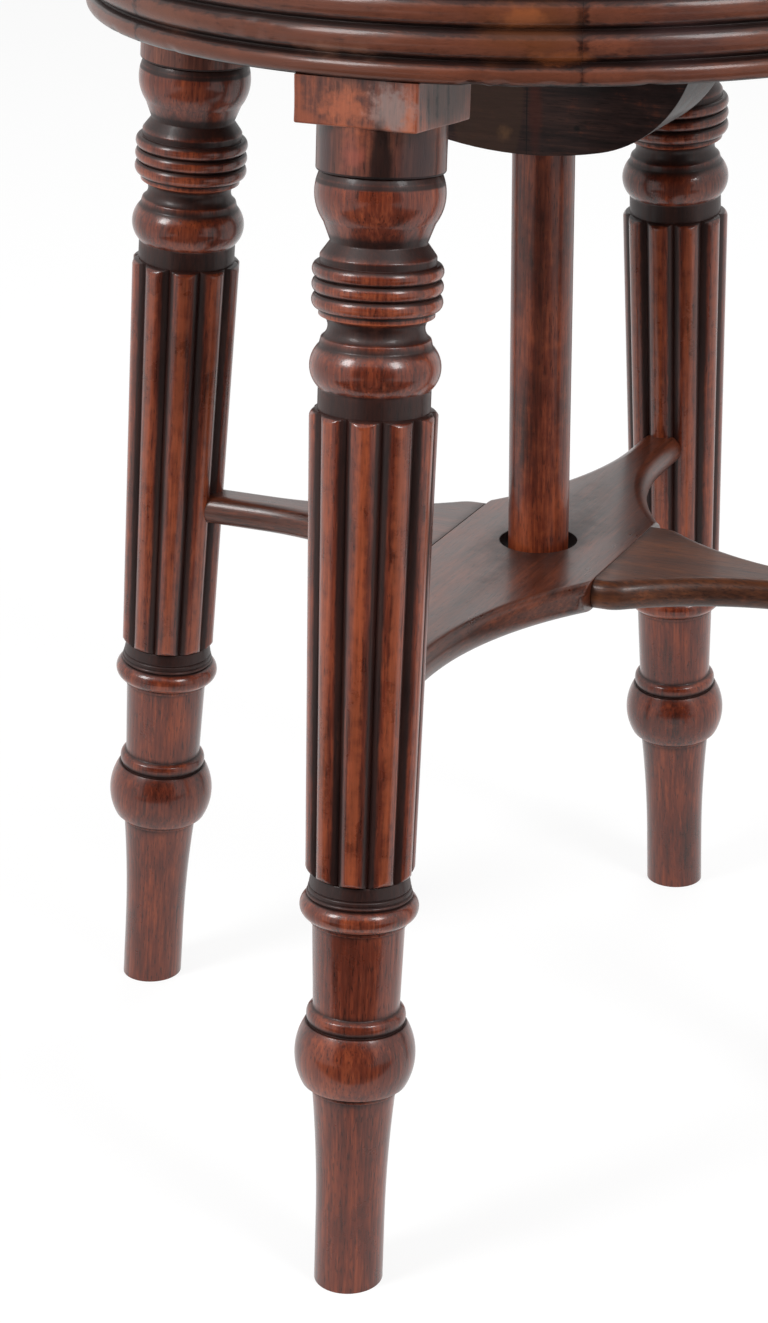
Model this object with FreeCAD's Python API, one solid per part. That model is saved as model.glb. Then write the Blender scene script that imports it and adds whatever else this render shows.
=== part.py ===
import FreeCAD, Part
import math
import os

from FreeCAD import Vector

# Revolving piano stool. Four splayed, turned and reeded legs carry a reeded rim
# through square heads. Two rails cross inside the rim, and the deep belly of one
# of them is threaded for a wooden screw. The screw's plain lower part runs down
# through a loose hole in an X-shaped stretcher, and its top carries a round seat.
#
# Frame: origin on the floor under the screw, +Z up, front leg at -Y, right leg
# at +X. Millimetres.

# Fits
FIT = 0.05
RUNNING_FIT = 0.08
SOFT_GAP = 0.3
BLIND_END_GAP = 0.5

# Stance of the legs
SPLAY_ANGLE = 5.02
FOOT_OUTREACH = 13.9
FLOOR_TRIM = 3.0

# Leg turning: lengths along the leg, from the floor up
FOOT_STRAIGHT_LENGTH = 24.0
FOOT_TAPER_LENGTH = 53.0
BALL_LENGTH = 23.5
ANKLE_RING_LENGTH = 5.0
SHIN_LENGTH = 34.0
LOW_RING_LENGTH = 11.0
LOW_COLLAR_LENGTH = 7.5
REED_LENGTH = 167.4
HIGH_COLLAR_LENGTH = 7.5
TORUS_LENGTH = 14.5
COVE_LENGTH = 10.0
FILLET_LENGTH = 2.5
BOLD_RING_LENGTH = 5.1
BULB_NECK_LENGTH = 7.0
BULB_LENGTH = 23.3

# Leg turning: radii
FOOT_RADIUS = 12.7
ANKLE_RADIUS = 15.3
BALL_RADIUS = 21.8
BALL_BOTTOM_RADIUS = 19.0
BALL_TOP_RADIUS = 18.4
ANKLE_RING_RADIUS = 18.0
SHIN_BOTTOM_RADIUS = 15.7
SHIN_TOP_RADIUS = 16.6
LOW_RING_RADIUS = 21.3
COLLAR_RADIUS = 18.0
REED_BOTTOM_RADIUS = 19.6
REED_TOP_RADIUS = 22.1
TORUS_RADIUS = 22.2
COVE_RADIUS = 16.4
BOLD_RING_RADIUS = 22.1
RING_GROOVE_DEPTH = 1.3
BULB_NECK_RADIUS = 16.3
BULB_RADIUS = 21.9
BULB_TOP_RADIUS = 20.3
STEP_DEPTH = 1.2
BOLD_RING_COUNT = 3

# Leg turning: how far up each curved stretch it bends or is widest, as a share of it
FOOT_TAPER_SAG = 0.25
BALL_WIDEST_AT = 0.38
LOW_RING_WIDEST_AT = 0.55
TORUS_WIDEST_AT = 0.42
BULB_FLARE_END = 0.28
BULB_FLARE_SWELL = 0.45
BULB_WIDEST_AT = 0.69

# Reeds cut round the middle of each leg
REED_COUNT = 10
REED_DEPTH = 3.0
REED_END_ROUNDING = 4.0
REED_TURN = {"front": -3.0, "right": 10.0, "back": 17.0, "left": 26.0}

# Leg heads: a round neck under a square block
HEAD_NECK_RADIUS = 21.65
HEAD_NECK_HEIGHT = 16.1
HEAD_BLOCK_SIDE = 44.0
HEAD_BLOCK_HEIGHT = 17.56
SPIGOT_RADIUS = 8.0
SPIGOT_DEPTH_IN_RIM = 22.0

# Reeded rim, glued up from segments
RIM_RADIUS = 167.5
RIM_WALL = 45.5
RIM_EDGE_BEAD_HEIGHT = 8.0
RIM_REED_HEIGHT = 10.3
RIM_REED_COUNT = 3
RIM_REED_DEPTH = 2.6
RIM_FILLET_HEIGHT = 1.0
RIM_SEGMENT_COUNT = 6
RIM_JOINT_BEARING = 25.5
RIM_DOWEL_RADIUS = 4.0
RIM_DOWEL_LENGTH = 30.0

# Crossing rails inside the rim
RAIL_WIDTH = 43.0
RAIL_HEIGHT = 27.0
RAIL_LIFT = 1.0
RAIL_TENON_WIDTH = 30.0
RAIL_TENON_HEIGHT = 16.0
RAIL_TENON_LENGTH = 8.5
BELLY_DROP = 54.0
BELLY_FLAT_RADIUS = 150.0
BELLY_FLAT_ANGLE = 11.5
BELLY_SIDE_RADIUS = 45.0
BELLY_SIDE_ANGLE = 68.0

# Stretcher: one long board with two side arms dowelled to it
STRETCHER_TOP = 229.0
STRETCHER_THICKNESS = 12.0
STRETCHER_NOSE_RADIUS = 5.5
STRETCHER_HOLE_RADIUS = 15.15
BOARD_HALF_WIDTH = 35.5
ARM_HALF_WIDTH = 9.0
BOARD_CURVE_RADIUS = 140.0
BOARD_CURVE_END = 125.0
SIDE_ROOT_HALF_WIDTH = 36.0
SIDE_ROOT_ROUNDING = 14.0
SIDE_CURVE_RADIUS = 115.0
SIDE_CURVE_END = 119.0
ARM_HOUSING_DEPTH = 3.3
ARM_TENON_RADIUS = 4.5
STRETCHER_DOWEL_RADIUS = 3.0
STRETCHER_DOWEL_LENGTH = 30.0
STRETCHER_DOWEL_OFFSET = 21.0

# Wooden screw, and its travel down and up from where it stands
SCREW_RADIUS = 15.0
SCREW_PITCH = 8.0
TURNS_DOWN = 6.0
TURNS_UP = 1.0
POST_RADIUS = 11.8
POST_TAIL_SPARE = 6.0
POST_END_CHAMFER = 1.5
SCREW_END_CHAMFER = 3.0
POST_TENON_RADIUS = 11.0

# Seat
STOP_GAP = 0.3
WASHER_THICKNESS = 3.0
WASHER_WIDTH = 15.0
WASHER_GAP = 0.2
BEARER_LENGTH = 200.0
BEARER_WIDTH = 64.0
BEARER_HEIGHT = 19.0
BEARER_CHAMFER = 6.0
BEARER_PIN_RADIUS = 3.0
BEARER_SCREW_SPACING_X = 150.0
BEARER_SCREW_SPACING_Y = 36.0
BEARER_SCREW_RADIUS = 2.0
BEARER_SCREW_HEAD_RADIUS = 4.2
BEARER_SCREW_HEAD_HEIGHT = 2.4
BEARER_SCREW_BITE = 9.0
SEAT_BOARD_RADIUS = 166.0
SEAT_BOARD_THICKNESS = 14.0
PAD_SIDE_BULGE = 5.0
PAD_SIDE_HEIGHT = 22.0
PAD_HEIGHT = 42.0
PAD_SHOULDER_INSET = 9.0
PAD_WIDEST_AT = 0.55
COVER_THICKNESS = 1.5
GIMP_HEIGHT = 11.0
GIMP_THICKNESS = 1.4
NAIL_COUNT = 60
NAIL_HEAD_RADIUS = 4.8
NAIL_HEAD_HEIGHT = 2.6
NAIL_SHANK_RADIUS = 0.8
NAIL_SHANK_LENGTH = 12.0

# Places worked out from the sizes above
SPLAY = math.radians(SPLAY_ANGLE)
FOOT_CIRCLE_RADIUS = RIM_RADIUS + FOOT_OUTREACH
REED_START = (FOOT_STRAIGHT_LENGTH + FOOT_TAPER_LENGTH + FILLET_LENGTH + BALL_LENGTH
              + ANKLE_RING_LENGTH + SHIN_LENGTH + LOW_RING_LENGTH + LOW_COLLAR_LENGTH)
REED_END = REED_START + REED_LENGTH
LEG_LENGTH = (REED_END + HIGH_COLLAR_LENGTH + TORUS_LENGTH + COVE_LENGTH + FILLET_LENGTH
              + BOLD_RING_COUNT * BOLD_RING_LENGTH + BULB_NECK_LENGTH + BULB_LENGTH)
BLOCK_BOTTOM = (LEG_LENGTH + HEAD_NECK_HEIGHT) * math.cos(SPLAY)
RIM_BOTTOM = BLOCK_BOTTOM + HEAD_BLOCK_HEIGHT
RIM_HEIGHT = 2 * RIM_EDGE_BEAD_HEIGHT + RIM_REED_COUNT * RIM_REED_HEIGHT
RIM_INNER_RADIUS = RIM_RADIUS - RIM_WALL
RAIL_BOTTOM = RIM_BOTTOM + RAIL_LIFT
RAIL_TOP = RAIL_BOTTOM + RAIL_HEIGHT
BELLY_BOTTOM = RIM_BOTTOM - BELLY_DROP
STRETCHER_BOTTOM = STRETCHER_TOP - STRETCHER_THICKNESS
STRETCHER_MIDDLE = STRETCHER_TOP - STRETCHER_THICKNESS / 2
TRAVEL_DOWN = TURNS_DOWN * SCREW_PITCH
TRAVEL_UP = TURNS_UP * SCREW_PITCH
WASHER_BOTTOM = RAIL_TOP + TRAVEL_DOWN + STOP_GAP
BEARER_BOTTOM = WASHER_BOTTOM + WASHER_THICKNESS + WASHER_GAP
BOARD_BOTTOM = BEARER_BOTTOM + BEARER_HEIGHT
PAD_BOTTOM = BOARD_BOTTOM + SEAT_BOARD_THICKNESS
PIN_HEIGHT = BEARER_BOTTOM + BEARER_HEIGHT / 2
LEG_BEARINGS = {"front": 0.0, "right": 90.0, "back": 180.0, "left": 270.0}

ORIGIN = Vector(0, 0, 0)
UP = Vector(0, 0, 1)
FORWARD = Vector(0, 1, 0)
RIGHT = Vector(1, 0, 0)


class Outline:
    """A flat outline of straight and round stretches, drawn point by point."""

    def __init__(self, across, height):
        """Start the outline at one point of the XZ plane."""
        self.start = Vector(across, 0, height)
        self.end = self.start
        self.edges = []

    def line(self, across, height):
        """Draw a straight stretch to a point."""
        point = Vector(across, 0, height)
        self.edges.append(Part.LineSegment(self.end, point).toShape())
        self.end = point
        return self

    def arc(self, via_across, via_height, across, height):
        """Draw a round stretch through one point to another."""
        via = Vector(via_across, 0, via_height)
        point = Vector(across, 0, height)
        self.edges.append(Part.Arc(self.end, via, point).toShape())
        self.end = point
        return self

    def dome(self, rise):
        """Draw a ball-shaped dome from here up to the axis."""
        across = self.end.x
        radius = (across ** 2 + rise ** 2) / (2 * rise)
        centre = self.end.z + rise - radius
        half = math.asin(across / radius) / 2
        return self.arc(radius * math.sin(half), centre + radius * math.cos(half),
                        0, centre + radius)

    def face(self):
        """Close the outline with a straight stretch and fill it."""
        if self.end.distanceToPoint(self.start) > Part.Precision.confusion():
            self.line(self.start.x, self.start.z)
        return Part.Face(Part.Wire(self.edges))

    def turned(self, angle=360.0):
        """Turn the filled outline about the Z axis."""
        return self.face().revolve(ORIGIN, UP, angle)


def box(x_range, y_range, z_range):
    """Make a block between two limits along each axis."""
    low = Vector(x_range[0], y_range[0], z_range[0])
    return Part.makeBox(x_range[1] - x_range[0], y_range[1] - y_range[0],
                        z_range[1] - z_range[0], low)


def centred(size):
    """Give the two limits of a size centred on zero."""
    return (-size / 2, size / 2)


def to_bearing(shape, bearing):
    """Turn a shape made at the front to its bearing round the screw."""
    turned = shape.copy()
    turned.rotate(ORIGIN, UP, bearing)
    return turned


def lean(shape):
    """Stand a shape made along Z on the front leg's splayed line."""
    leaning = shape.copy()
    leaning.rotate(ORIGIN, RIGHT, -SPLAY_ANGLE)
    leaning.translate(Vector(0, -FOOT_CIRCLE_RADIUS, 0))
    return leaning


def leg_line_radius(height):
    """Distance of a leg's centre line from the screw at a height."""
    return FOOT_CIRCLE_RADIUS - height * math.tan(SPLAY)


def reed_radius(height):
    """Radius over the reeds of a leg at a height."""
    share = (height / math.cos(SPLAY) - REED_START) / REED_LENGTH
    return REED_BOTTOM_RADIUS + share * (REED_TOP_RADIUS - REED_BOTTOM_RADIUS)


def leg_turning():
    """The lathe work of a leg, with the reeded stretch left at its core."""
    core_radius = REED_BOTTOM_RADIUS - REED_DEPTH
    height = -FLOOR_TRIM
    shape = Outline(0, height).line(FOOT_RADIUS, height)
    height = FOOT_STRAIGHT_LENGTH
    shape.line(FOOT_RADIUS, height)
    middle = height + FOOT_TAPER_LENGTH / 2
    height += FOOT_TAPER_LENGTH
    sag_radius = FOOT_RADIUS + FOOT_TAPER_SAG * (ANKLE_RADIUS - FOOT_RADIUS)
    shape.arc(sag_radius, middle, ANKLE_RADIUS, height)
    shape.line(ANKLE_RADIUS + STEP_DEPTH, height)
    height += FILLET_LENGTH
    shape.line(ANKLE_RADIUS + STEP_DEPTH, height)
    shape.line(BALL_BOTTOM_RADIUS, height)
    middle = height + BALL_WIDEST_AT * BALL_LENGTH
    height += BALL_LENGTH
    shape.arc(BALL_RADIUS, middle, BALL_TOP_RADIUS, height)
    shape.line(ANKLE_RING_RADIUS - STEP_DEPTH / 2, height)
    middle = height + ANKLE_RING_LENGTH / 2
    height += ANKLE_RING_LENGTH
    shape.arc(ANKLE_RING_RADIUS, middle, ANKLE_RING_RADIUS - STEP_DEPTH / 2, height)
    shape.line(SHIN_BOTTOM_RADIUS, height + STEP_DEPTH)
    height += SHIN_LENGTH
    shape.line(SHIN_TOP_RADIUS, height)
    shape.line(SHIN_TOP_RADIUS + STEP_DEPTH, height)
    middle = height + LOW_RING_WIDEST_AT * LOW_RING_LENGTH
    height += LOW_RING_LENGTH
    shape.arc(LOW_RING_RADIUS, middle, COLLAR_RADIUS + STEP_DEPTH, height)
    shape.line(COLLAR_RADIUS + STEP_DEPTH / 2, height)
    height += LOW_COLLAR_LENGTH
    shape.line(COLLAR_RADIUS - STEP_DEPTH / 2, height)
    shape.line(core_radius, height)
    height += REED_LENGTH
    shape.line(core_radius, height)
    shape.line(COLLAR_RADIUS + STEP_DEPTH, height)
    height += HIGH_COLLAR_LENGTH
    shape.line(COLLAR_RADIUS + STEP_DEPTH, height)
    middle = height + TORUS_WIDEST_AT * TORUS_LENGTH
    height += TORUS_LENGTH
    shape.arc(TORUS_RADIUS, middle, COLLAR_RADIUS + STEP_DEPTH, height)
    height += FILLET_LENGTH
    shape.line(COLLAR_RADIUS + STEP_DEPTH / 2, height)
    middle = height + (COVE_LENGTH - FILLET_LENGTH) / 2
    height += COVE_LENGTH - FILLET_LENGTH
    shape.arc(COVE_RADIUS, middle, COLLAR_RADIUS + STEP_DEPTH / 2, height)
    groove_radius = BOLD_RING_RADIUS - RING_GROOVE_DEPTH
    shape.line(groove_radius - STEP_DEPTH, height)
    height += FILLET_LENGTH
    shape.line(groove_radius - STEP_DEPTH, height)
    shape.line(groove_radius, height)
    for ring in range(BOLD_RING_COUNT):
        middle = height + BOLD_RING_LENGTH / 2
        height += BOLD_RING_LENGTH
        shape.arc(BOLD_RING_RADIUS, middle, groove_radius, height)
    shape.line(groove_radius - STEP_DEPTH, height)
    shape.line(groove_radius - STEP_DEPTH, height + FILLET_LENGTH)
    height += BULB_NECK_LENGTH
    shape.line(BULB_NECK_RADIUS, height)
    flare_radius = BULB_NECK_RADIUS + BULB_FLARE_SWELL * (BULB_RADIUS - BULB_NECK_RADIUS)
    shape.line(flare_radius, height + BULB_FLARE_END * BULB_LENGTH)
    middle = height + BULB_WIDEST_AT * BULB_LENGTH
    shape.arc(BULB_RADIUS, middle, BULB_TOP_RADIUS, height + BULB_LENGTH)
    shape.line(SPIGOT_RADIUS, LEG_LENGTH)
    spigot_top = (RIM_BOTTOM + SPIGOT_DEPTH_IN_RIM) / math.cos(SPLAY)
    shape.line(SPIGOT_RADIUS, spigot_top)
    shape.line(0, spigot_top)
    return shape.turned()


def reed_section(radius, height, turn):
    """A closed ring of convex arcs, one for each reed, at one height."""
    step = 2 * math.pi / REED_COUNT
    start = math.radians(turn)
    edges = []
    for reed in range(REED_COUNT):
        points = []
        for share, distance in ((0, radius - REED_DEPTH), (0.5, radius), (1, radius - REED_DEPTH)):
            angle = start + (reed + share) * step
            points.append(Vector(distance * math.sin(angle), -distance * math.cos(angle), height))
        edges.append(Part.Arc(*points).toShape())
    return Part.Wire(edges)


def leg_reeds(turn):
    """The reeded stretch of a leg, with the ends of its reeds rounded over."""
    reeds = Part.makeLoft([reed_section(REED_BOTTOM_RADIUS, REED_START, turn),
                           reed_section(REED_TOP_RADIUS, REED_END, turn)], True, True)
    low = REED_BOTTOM_RADIUS - REED_DEPTH
    high = REED_TOP_RADIUS - REED_DEPTH
    rounding = REED_END_ROUNDING
    bend = rounding * (1 - math.sqrt(0.5))
    ends = Outline(0, REED_START).line(low, REED_START)
    ends.arc(REED_BOTTOM_RADIUS - bend / 2, REED_START + bend,
             REED_BOTTOM_RADIUS + FIT, REED_START + rounding)
    ends.line(REED_TOP_RADIUS + FIT, REED_END - rounding)
    ends.arc(REED_TOP_RADIUS - bend / 2, REED_END - bend, high, REED_END)
    ends.line(0, REED_END)
    return reeds.common(ends.turned())


def arm_housing():
    """The shape cut into the front leg for the end of a stretcher arm."""
    shoulder = arm_shoulder()
    width = 2 * (ARM_HALF_WIDTH + FIT)
    inner = shoulder - HEAD_BLOCK_SIDE
    housing = box(centred(width), (-shoulder - FIT, -inner),
                  (STRETCHER_BOTTOM - FIT, STRETCHER_TOP + FIT))
    long_edges = [edge for edge in housing.Edges if edge.Length > HEAD_BLOCK_SIDE]
    housing = housing.makeFillet(STRETCHER_NOSE_RADIUS, long_edges)
    tenon_end = arm_tenon_end() + BLIND_END_GAP
    hole = Part.makeCylinder(ARM_TENON_RADIUS + FIT, tenon_end - inner,
                             Vector(0, -inner, STRETCHER_MIDDLE), -FORWARD)
    return housing.fuse(hole)


def arm_shoulder():
    """Distance from the screw of the shoulder where an arm's tenon starts."""
    surface = leg_line_radius(STRETCHER_MIDDLE) - reed_radius(STRETCHER_MIDDLE)
    return surface + ARM_HOUSING_DEPTH


def arm_tenon_end():
    """Distance from the screw of the end of an arm's tenon."""
    return leg_line_radius(STRETCHER_MIDDLE)


def make_leg(name):
    """A turned leg with its reeds, its spigot and the housing for its arm."""
    leg = lean(leg_turning().fuse(leg_reeds(REED_TURN[name])))
    reach = FOOT_CIRCLE_RADIUS
    below_floor = box(centred(2 * reach), (-2 * reach, reach), (-reach, 0))
    leg = leg.cut([below_floor, arm_housing()])
    return to_bearing(leg, LEG_BEARINGS[name])


def make_leg_head(name):
    """The square block in line with its leg, flat under the rim, with its turned neck."""
    block_start = LEG_LENGTH + HEAD_NECK_HEIGHT
    neck = Part.makeCylinder(HEAD_NECK_RADIUS, HEAD_NECK_HEIGHT, Vector(0, 0, LEG_LENGTH))
    block = box(centred(HEAD_BLOCK_SIDE), centred(HEAD_BLOCK_SIDE),
                (block_start, block_start + 2 * HEAD_BLOCK_HEIGHT))
    above = box(centred(4 * HEAD_BLOCK_SIDE), (-2 * FOOT_CIRCLE_RADIUS, 0),
                (RIM_BOTTOM, 2 * RIM_BOTTOM))
    head = lean(block.fuse(neck)).cut([above, spigot_hole()])
    return to_bearing(head.removeSplitter(), LEG_BEARINGS[name])


def spigot_hole():
    """The hole for the front leg's spigot, through its head into the rim."""
    top = (RIM_BOTTOM + SPIGOT_DEPTH_IN_RIM) / math.cos(SPLAY) + BLIND_END_GAP
    start = LEG_LENGTH - HEAD_NECK_HEIGHT
    return lean(Part.makeCylinder(SPIGOT_RADIUS + FIT, top - start, Vector(0, 0, start)))


def rail_tenon(fit):
    """The tenon on the front end of a rail, or with a fit its mortise."""
    middle = RAIL_BOTTOM + RAIL_HEIGHT / 2
    outer = RIM_INNER_RADIUS + RAIL_TENON_LENGTH + (BLIND_END_GAP if fit else 0)
    inner = RIM_INNER_RADIUS - RAIL_TENON_LENGTH
    half_height = RAIL_TENON_HEIGHT / 2 + fit
    return box(centred(RAIL_TENON_WIDTH + 2 * fit), (-outer, -inner),
               (middle - half_height, middle + half_height))


def rim_outline():
    """The section of the rim: an edge bead, the reeds and another edge bead."""
    heights = [RIM_EDGE_BEAD_HEIGHT] + [RIM_REED_HEIGHT] * RIM_REED_COUNT + [RIM_EDGE_BEAD_HEIGHT]
    groove = RIM_RADIUS - RIM_REED_DEPTH
    height = RIM_BOTTOM
    outline = Outline(RIM_INNER_RADIUS, height).line(groove, height)
    for number, bead in enumerate(heights):
        last = number == len(heights) - 1
        top = height + bead
        arc_top = top if last else top - RIM_FILLET_HEIGHT
        outline.arc(RIM_RADIUS, (height + arc_top) / 2, groove, arc_top)
        if not last:
            outline.line(groove, top)
        height = top
    outline.line(RIM_INNER_RADIUS, height)
    return outline


def rim_dowel(fit):
    """The dowel across the rim joint at the front, or with a fit its hole."""
    radius = RIM_RADIUS - RIM_WALL / 2
    length = RIM_DOWEL_LENGTH + (2 * BLIND_END_GAP if fit else 0)
    height = RIM_BOTTOM + RIM_HEIGHT - RIM_EDGE_BEAD_HEIGHT - RIM_DOWEL_RADIUS
    return Part.makeCylinder(RIM_DOWEL_RADIUS + fit, length,
                             Vector(-length / 2, -radius, height), RIGHT)


def rim_joint_bearings():
    """Bearings of the joints between the rim's segments."""
    step = 360.0 / RIM_SEGMENT_COUNT
    return [RIM_JOINT_BEARING + number * step for number in range(RIM_SEGMENT_COUNT)]


def make_rim_segments():
    """The rim's segments, each bored for the spigots, tenons and dowels it meets."""
    tools = [to_bearing(spigot_hole(), bearing) for bearing in LEG_BEARINGS.values()]
    tools += [to_bearing(rail_tenon(FIT), bearing) for bearing in LEG_BEARINGS.values()]
    tools += [to_bearing(rim_dowel(FIT), bearing) for bearing in rim_joint_bearings()]
    sector = rim_outline().turned(360.0 / RIM_SEGMENT_COUNT)
    sector.rotate(ORIGIN, UP, -90)
    return [to_bearing(sector, bearing).cut(tools) for bearing in rim_joint_bearings()]


def make_rim_dowels():
    """The dowels across the rim's joints."""
    dowels = [to_bearing(rim_dowel(0), bearing) for bearing in rim_joint_bearings()]
    return Part.makeCompound(dowels)


def screw_bore():
    """The hole in the rails for the screw, drawn at the thread's outer size."""
    return Part.makeCylinder(SCREW_RADIUS + RUNNING_FIT, RIM_HEIGHT + 2 * BELLY_DROP,
                             Vector(0, 0, BELLY_BOTTOM - BELLY_DROP))


def plain_rail():
    """A straight rail from front to back, fitted to the rim's inner wall."""
    rail = box(centred(RAIL_WIDTH), centred(2 * RIM_RADIUS), (RAIL_BOTTOM, RAIL_TOP))
    inside = Part.makeCylinder(RIM_INNER_RADIUS - FIT, RAIL_HEIGHT, Vector(0, 0, RAIL_BOTTOM))
    tenons = [rail_tenon(0), to_bearing(rail_tenon(0), 180)]
    return rail.common(inside).fuse(tenons)


def belly():
    """The deep middle of the left to right rail, flat-bottomed with round sides."""
    flat = math.radians(BELLY_FLAT_ANGLE)
    side = math.radians(BELLY_SIDE_ANGLE)
    middle = (flat + side) / 2
    flat_end = Vector(BELLY_FLAT_RADIUS * math.sin(flat), 0,
                      BELLY_BOTTOM + BELLY_FLAT_RADIUS * (1 - math.cos(flat)))
    centre_x = flat_end.x - BELLY_SIDE_RADIUS * math.sin(flat)
    centre_z = flat_end.z + BELLY_SIDE_RADIUS * math.cos(flat)
    side_middle = (centre_x + BELLY_SIDE_RADIUS * math.sin(middle),
                   centre_z - BELLY_SIDE_RADIUS * math.cos(middle))
    side_end = (centre_x + BELLY_SIDE_RADIUS * math.sin(side),
                centre_z - BELLY_SIDE_RADIUS * math.cos(side))
    brow = (side_end[0] + (RAIL_BOTTOM - side_end[1]) / math.tan(side), RAIL_BOTTOM)
    outline = Outline(-flat_end.x, flat_end.z)
    outline.arc(0, BELLY_BOTTOM, flat_end.x, flat_end.z)
    outline.arc(side_middle[0], side_middle[1], side_end[0], side_end[1])
    outline.line(*brow).line(brow[0], RAIL_TOP).line(-brow[0], RAIL_TOP)
    outline.line(-brow[0], brow[1]).line(-side_end[0], side_end[1])
    outline.arc(-side_middle[0], side_middle[1], -flat_end.x, flat_end.z)
    shape = outline.face().extrude(RAIL_WIDTH * FORWARD)
    shape.translate(-RAIL_WIDTH / 2 * FORWARD)
    return shape


def make_rails():
    """The two rails, halved over each other and bored for the screw."""
    middle = RAIL_BOTTOM + RAIL_HEIGHT / 2
    lap = RAIL_WIDTH + 2 * FIT
    over = box(centred(RAIL_WIDTH * 2), centred(lap), (RAIL_BOTTOM - FIT, middle))
    under = box(centred(lap), centred(RAIL_WIDTH * 2), (middle, RAIL_TOP + FIT))
    front_back = plain_rail().cut([over, screw_bore()])
    left_right = to_bearing(plain_rail(), 90).fuse(belly()).removeSplitter()
    return left_right.cut([under, screw_bore()]), front_back


def round_noses(shape, keep):
    """Round the long edges of a stretcher piece, but not where keep says no."""
    edges = []
    for edge in shape.Edges:
        middle = edge.valueAt((edge.FirstParameter + edge.LastParameter) / 2)
        level = edge.BoundBox.ZLength < FIT
        if level and not keep(middle):
            edges.append(edge)
    return shape.makeFillet(STRETCHER_NOSE_RADIUS, edges)


def arc_points(centre, radius, start, end):
    """Start, middle and end of an arc in plan, with angles in radians."""
    return [Vector(centre[0] + radius * math.cos(angle), centre[1] + radius * math.sin(angle), 0)
            for angle in (start, (start + end) / 2, end)]


def stretcher_plank(edges, mirror_axis):
    """A plank of the stretcher, from some edges of its outline and their mirror image."""
    half = Part.Wire(edges)
    other = half.mirror(ORIGIN, mirror_axis)
    face = Part.Face(Part.Wire(Part.__sortEdges__(half.Edges + other.Edges)))
    face.translate(STRETCHER_BOTTOM * UP)
    return face.extrude(STRETCHER_THICKNESS * UP).removeSplitter()


def front_tenon():
    """The round tenon on the front arm's end."""
    shoulder = arm_shoulder()
    return Part.makeCylinder(ARM_TENON_RADIUS, arm_tenon_end() - shoulder,
                             Vector(0, -shoulder, STRETCHER_MIDDLE), -FORWARD)


def stretcher_dowels(fit):
    """The dowels between the board and the right arm, or with a fit their holes."""
    length = STRETCHER_DOWEL_LENGTH + (2 * BLIND_END_GAP if fit else 0)
    return [Part.makeCylinder(STRETCHER_DOWEL_RADIUS + fit, length,
                              Vector(BOARD_HALF_WIDTH - length / 2, offset, STRETCHER_MIDDLE),
                              RIGHT)
            for offset in (-STRETCHER_DOWEL_OFFSET, STRETCHER_DOWEL_OFFSET)]


def make_stretcher_board():
    """The long board from front to back, narrowing to an arm at each end."""
    shoulder = arm_shoulder()
    centre = (ARM_HALF_WIDTH + BOARD_CURVE_RADIUS, BOARD_CURVE_END)
    reach = (centre[0] - BOARD_HALF_WIDTH) / BOARD_CURVE_RADIUS
    start = math.pi + math.acos(reach)
    quarter = arc_points(centre, BOARD_CURVE_RADIUS, start, math.pi)
    mirror_y = [Vector(point.x, -point.y, 0) for point in quarter]
    end = Vector(ARM_HALF_WIDTH, shoulder, 0)
    front_end = Vector(ARM_HALF_WIDTH, -shoulder, 0)
    edges = [Part.LineSegment(Vector(0, shoulder, 0), end).toShape(),
             Part.LineSegment(end, quarter[2]).toShape(),
             Part.Arc(*quarter).toShape(),
             Part.LineSegment(quarter[0], mirror_y[0]).toShape(),
             Part.Arc(*mirror_y).toShape(),
             Part.LineSegment(mirror_y[2], front_end).toShape(),
             Part.LineSegment(front_end, Vector(0, -shoulder, 0)).toShape()]
    board = round_noses(stretcher_plank(edges, RIGHT), lambda point: abs(point.x) > BOARD_HALF_WIDTH - FIT
                        or abs(point.y) > shoulder - FIT)
    board = board.fuse([front_tenon(), to_bearing(front_tenon(), 180)])
    post_hole = Part.makeCylinder(STRETCHER_HOLE_RADIUS, 2 * STRETCHER_THICKNESS,
                                  Vector(0, 0, STRETCHER_BOTTOM - STRETCHER_THICKNESS / 2))
    holes = stretcher_dowels(FIT)
    holes += [to_bearing(hole, 180) for hole in holes]
    return board.cut([post_hole] + holes)


def make_stretcher_arm(bearing):
    """A side arm, glued and dowelled to the board's straight side."""
    shoulder = arm_shoulder()
    sweep = SIDE_CURVE_RADIUS
    rounding = SIDE_ROOT_ROUNDING
    far = (SIDE_CURVE_END, ARM_HALF_WIDTH + sweep)
    near_y = SIDE_ROOT_HALF_WIDTH - rounding
    run = math.sqrt((sweep + rounding) ** 2 - (far[1] - near_y) ** 2)
    near = (SIDE_CURVE_END - run, near_y)
    slope = math.atan2(far[1] - near[1], far[0] - near[0])
    convex = arc_points(near, rounding, math.pi / 2, slope)
    concave = arc_points(far, sweep, math.pi + slope, 1.5 * math.pi)
    root = Vector(BOARD_HALF_WIDTH, SIDE_ROOT_HALF_WIDTH, 0)
    tip = Vector(shoulder, ARM_HALF_WIDTH, 0)
    edges = [Part.LineSegment(Vector(BOARD_HALF_WIDTH, 0, 0), root).toShape(),
             Part.LineSegment(root, convex[0]).toShape(),
             Part.Arc(*convex).toShape(),
             Part.Arc(*concave).toShape(),
             Part.LineSegment(concave[2], tip).toShape(),
             Part.LineSegment(tip, Vector(shoulder, 0, 0)).toShape()]
    arm = round_noses(stretcher_plank(edges, FORWARD),
                      lambda point: point.x < BOARD_HALF_WIDTH + FIT
                      or point.x > shoulder - FIT)
    arm = arm.fuse(to_bearing(front_tenon(), 90)).cut(stretcher_dowels(FIT))
    return to_bearing(arm, bearing)


def make_stretcher_dowels():
    """The dowels on both sides of the board."""
    right = stretcher_dowels(0)
    return Part.makeCompound(right + [to_bearing(dowel, 180) for dowel in right])


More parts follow.
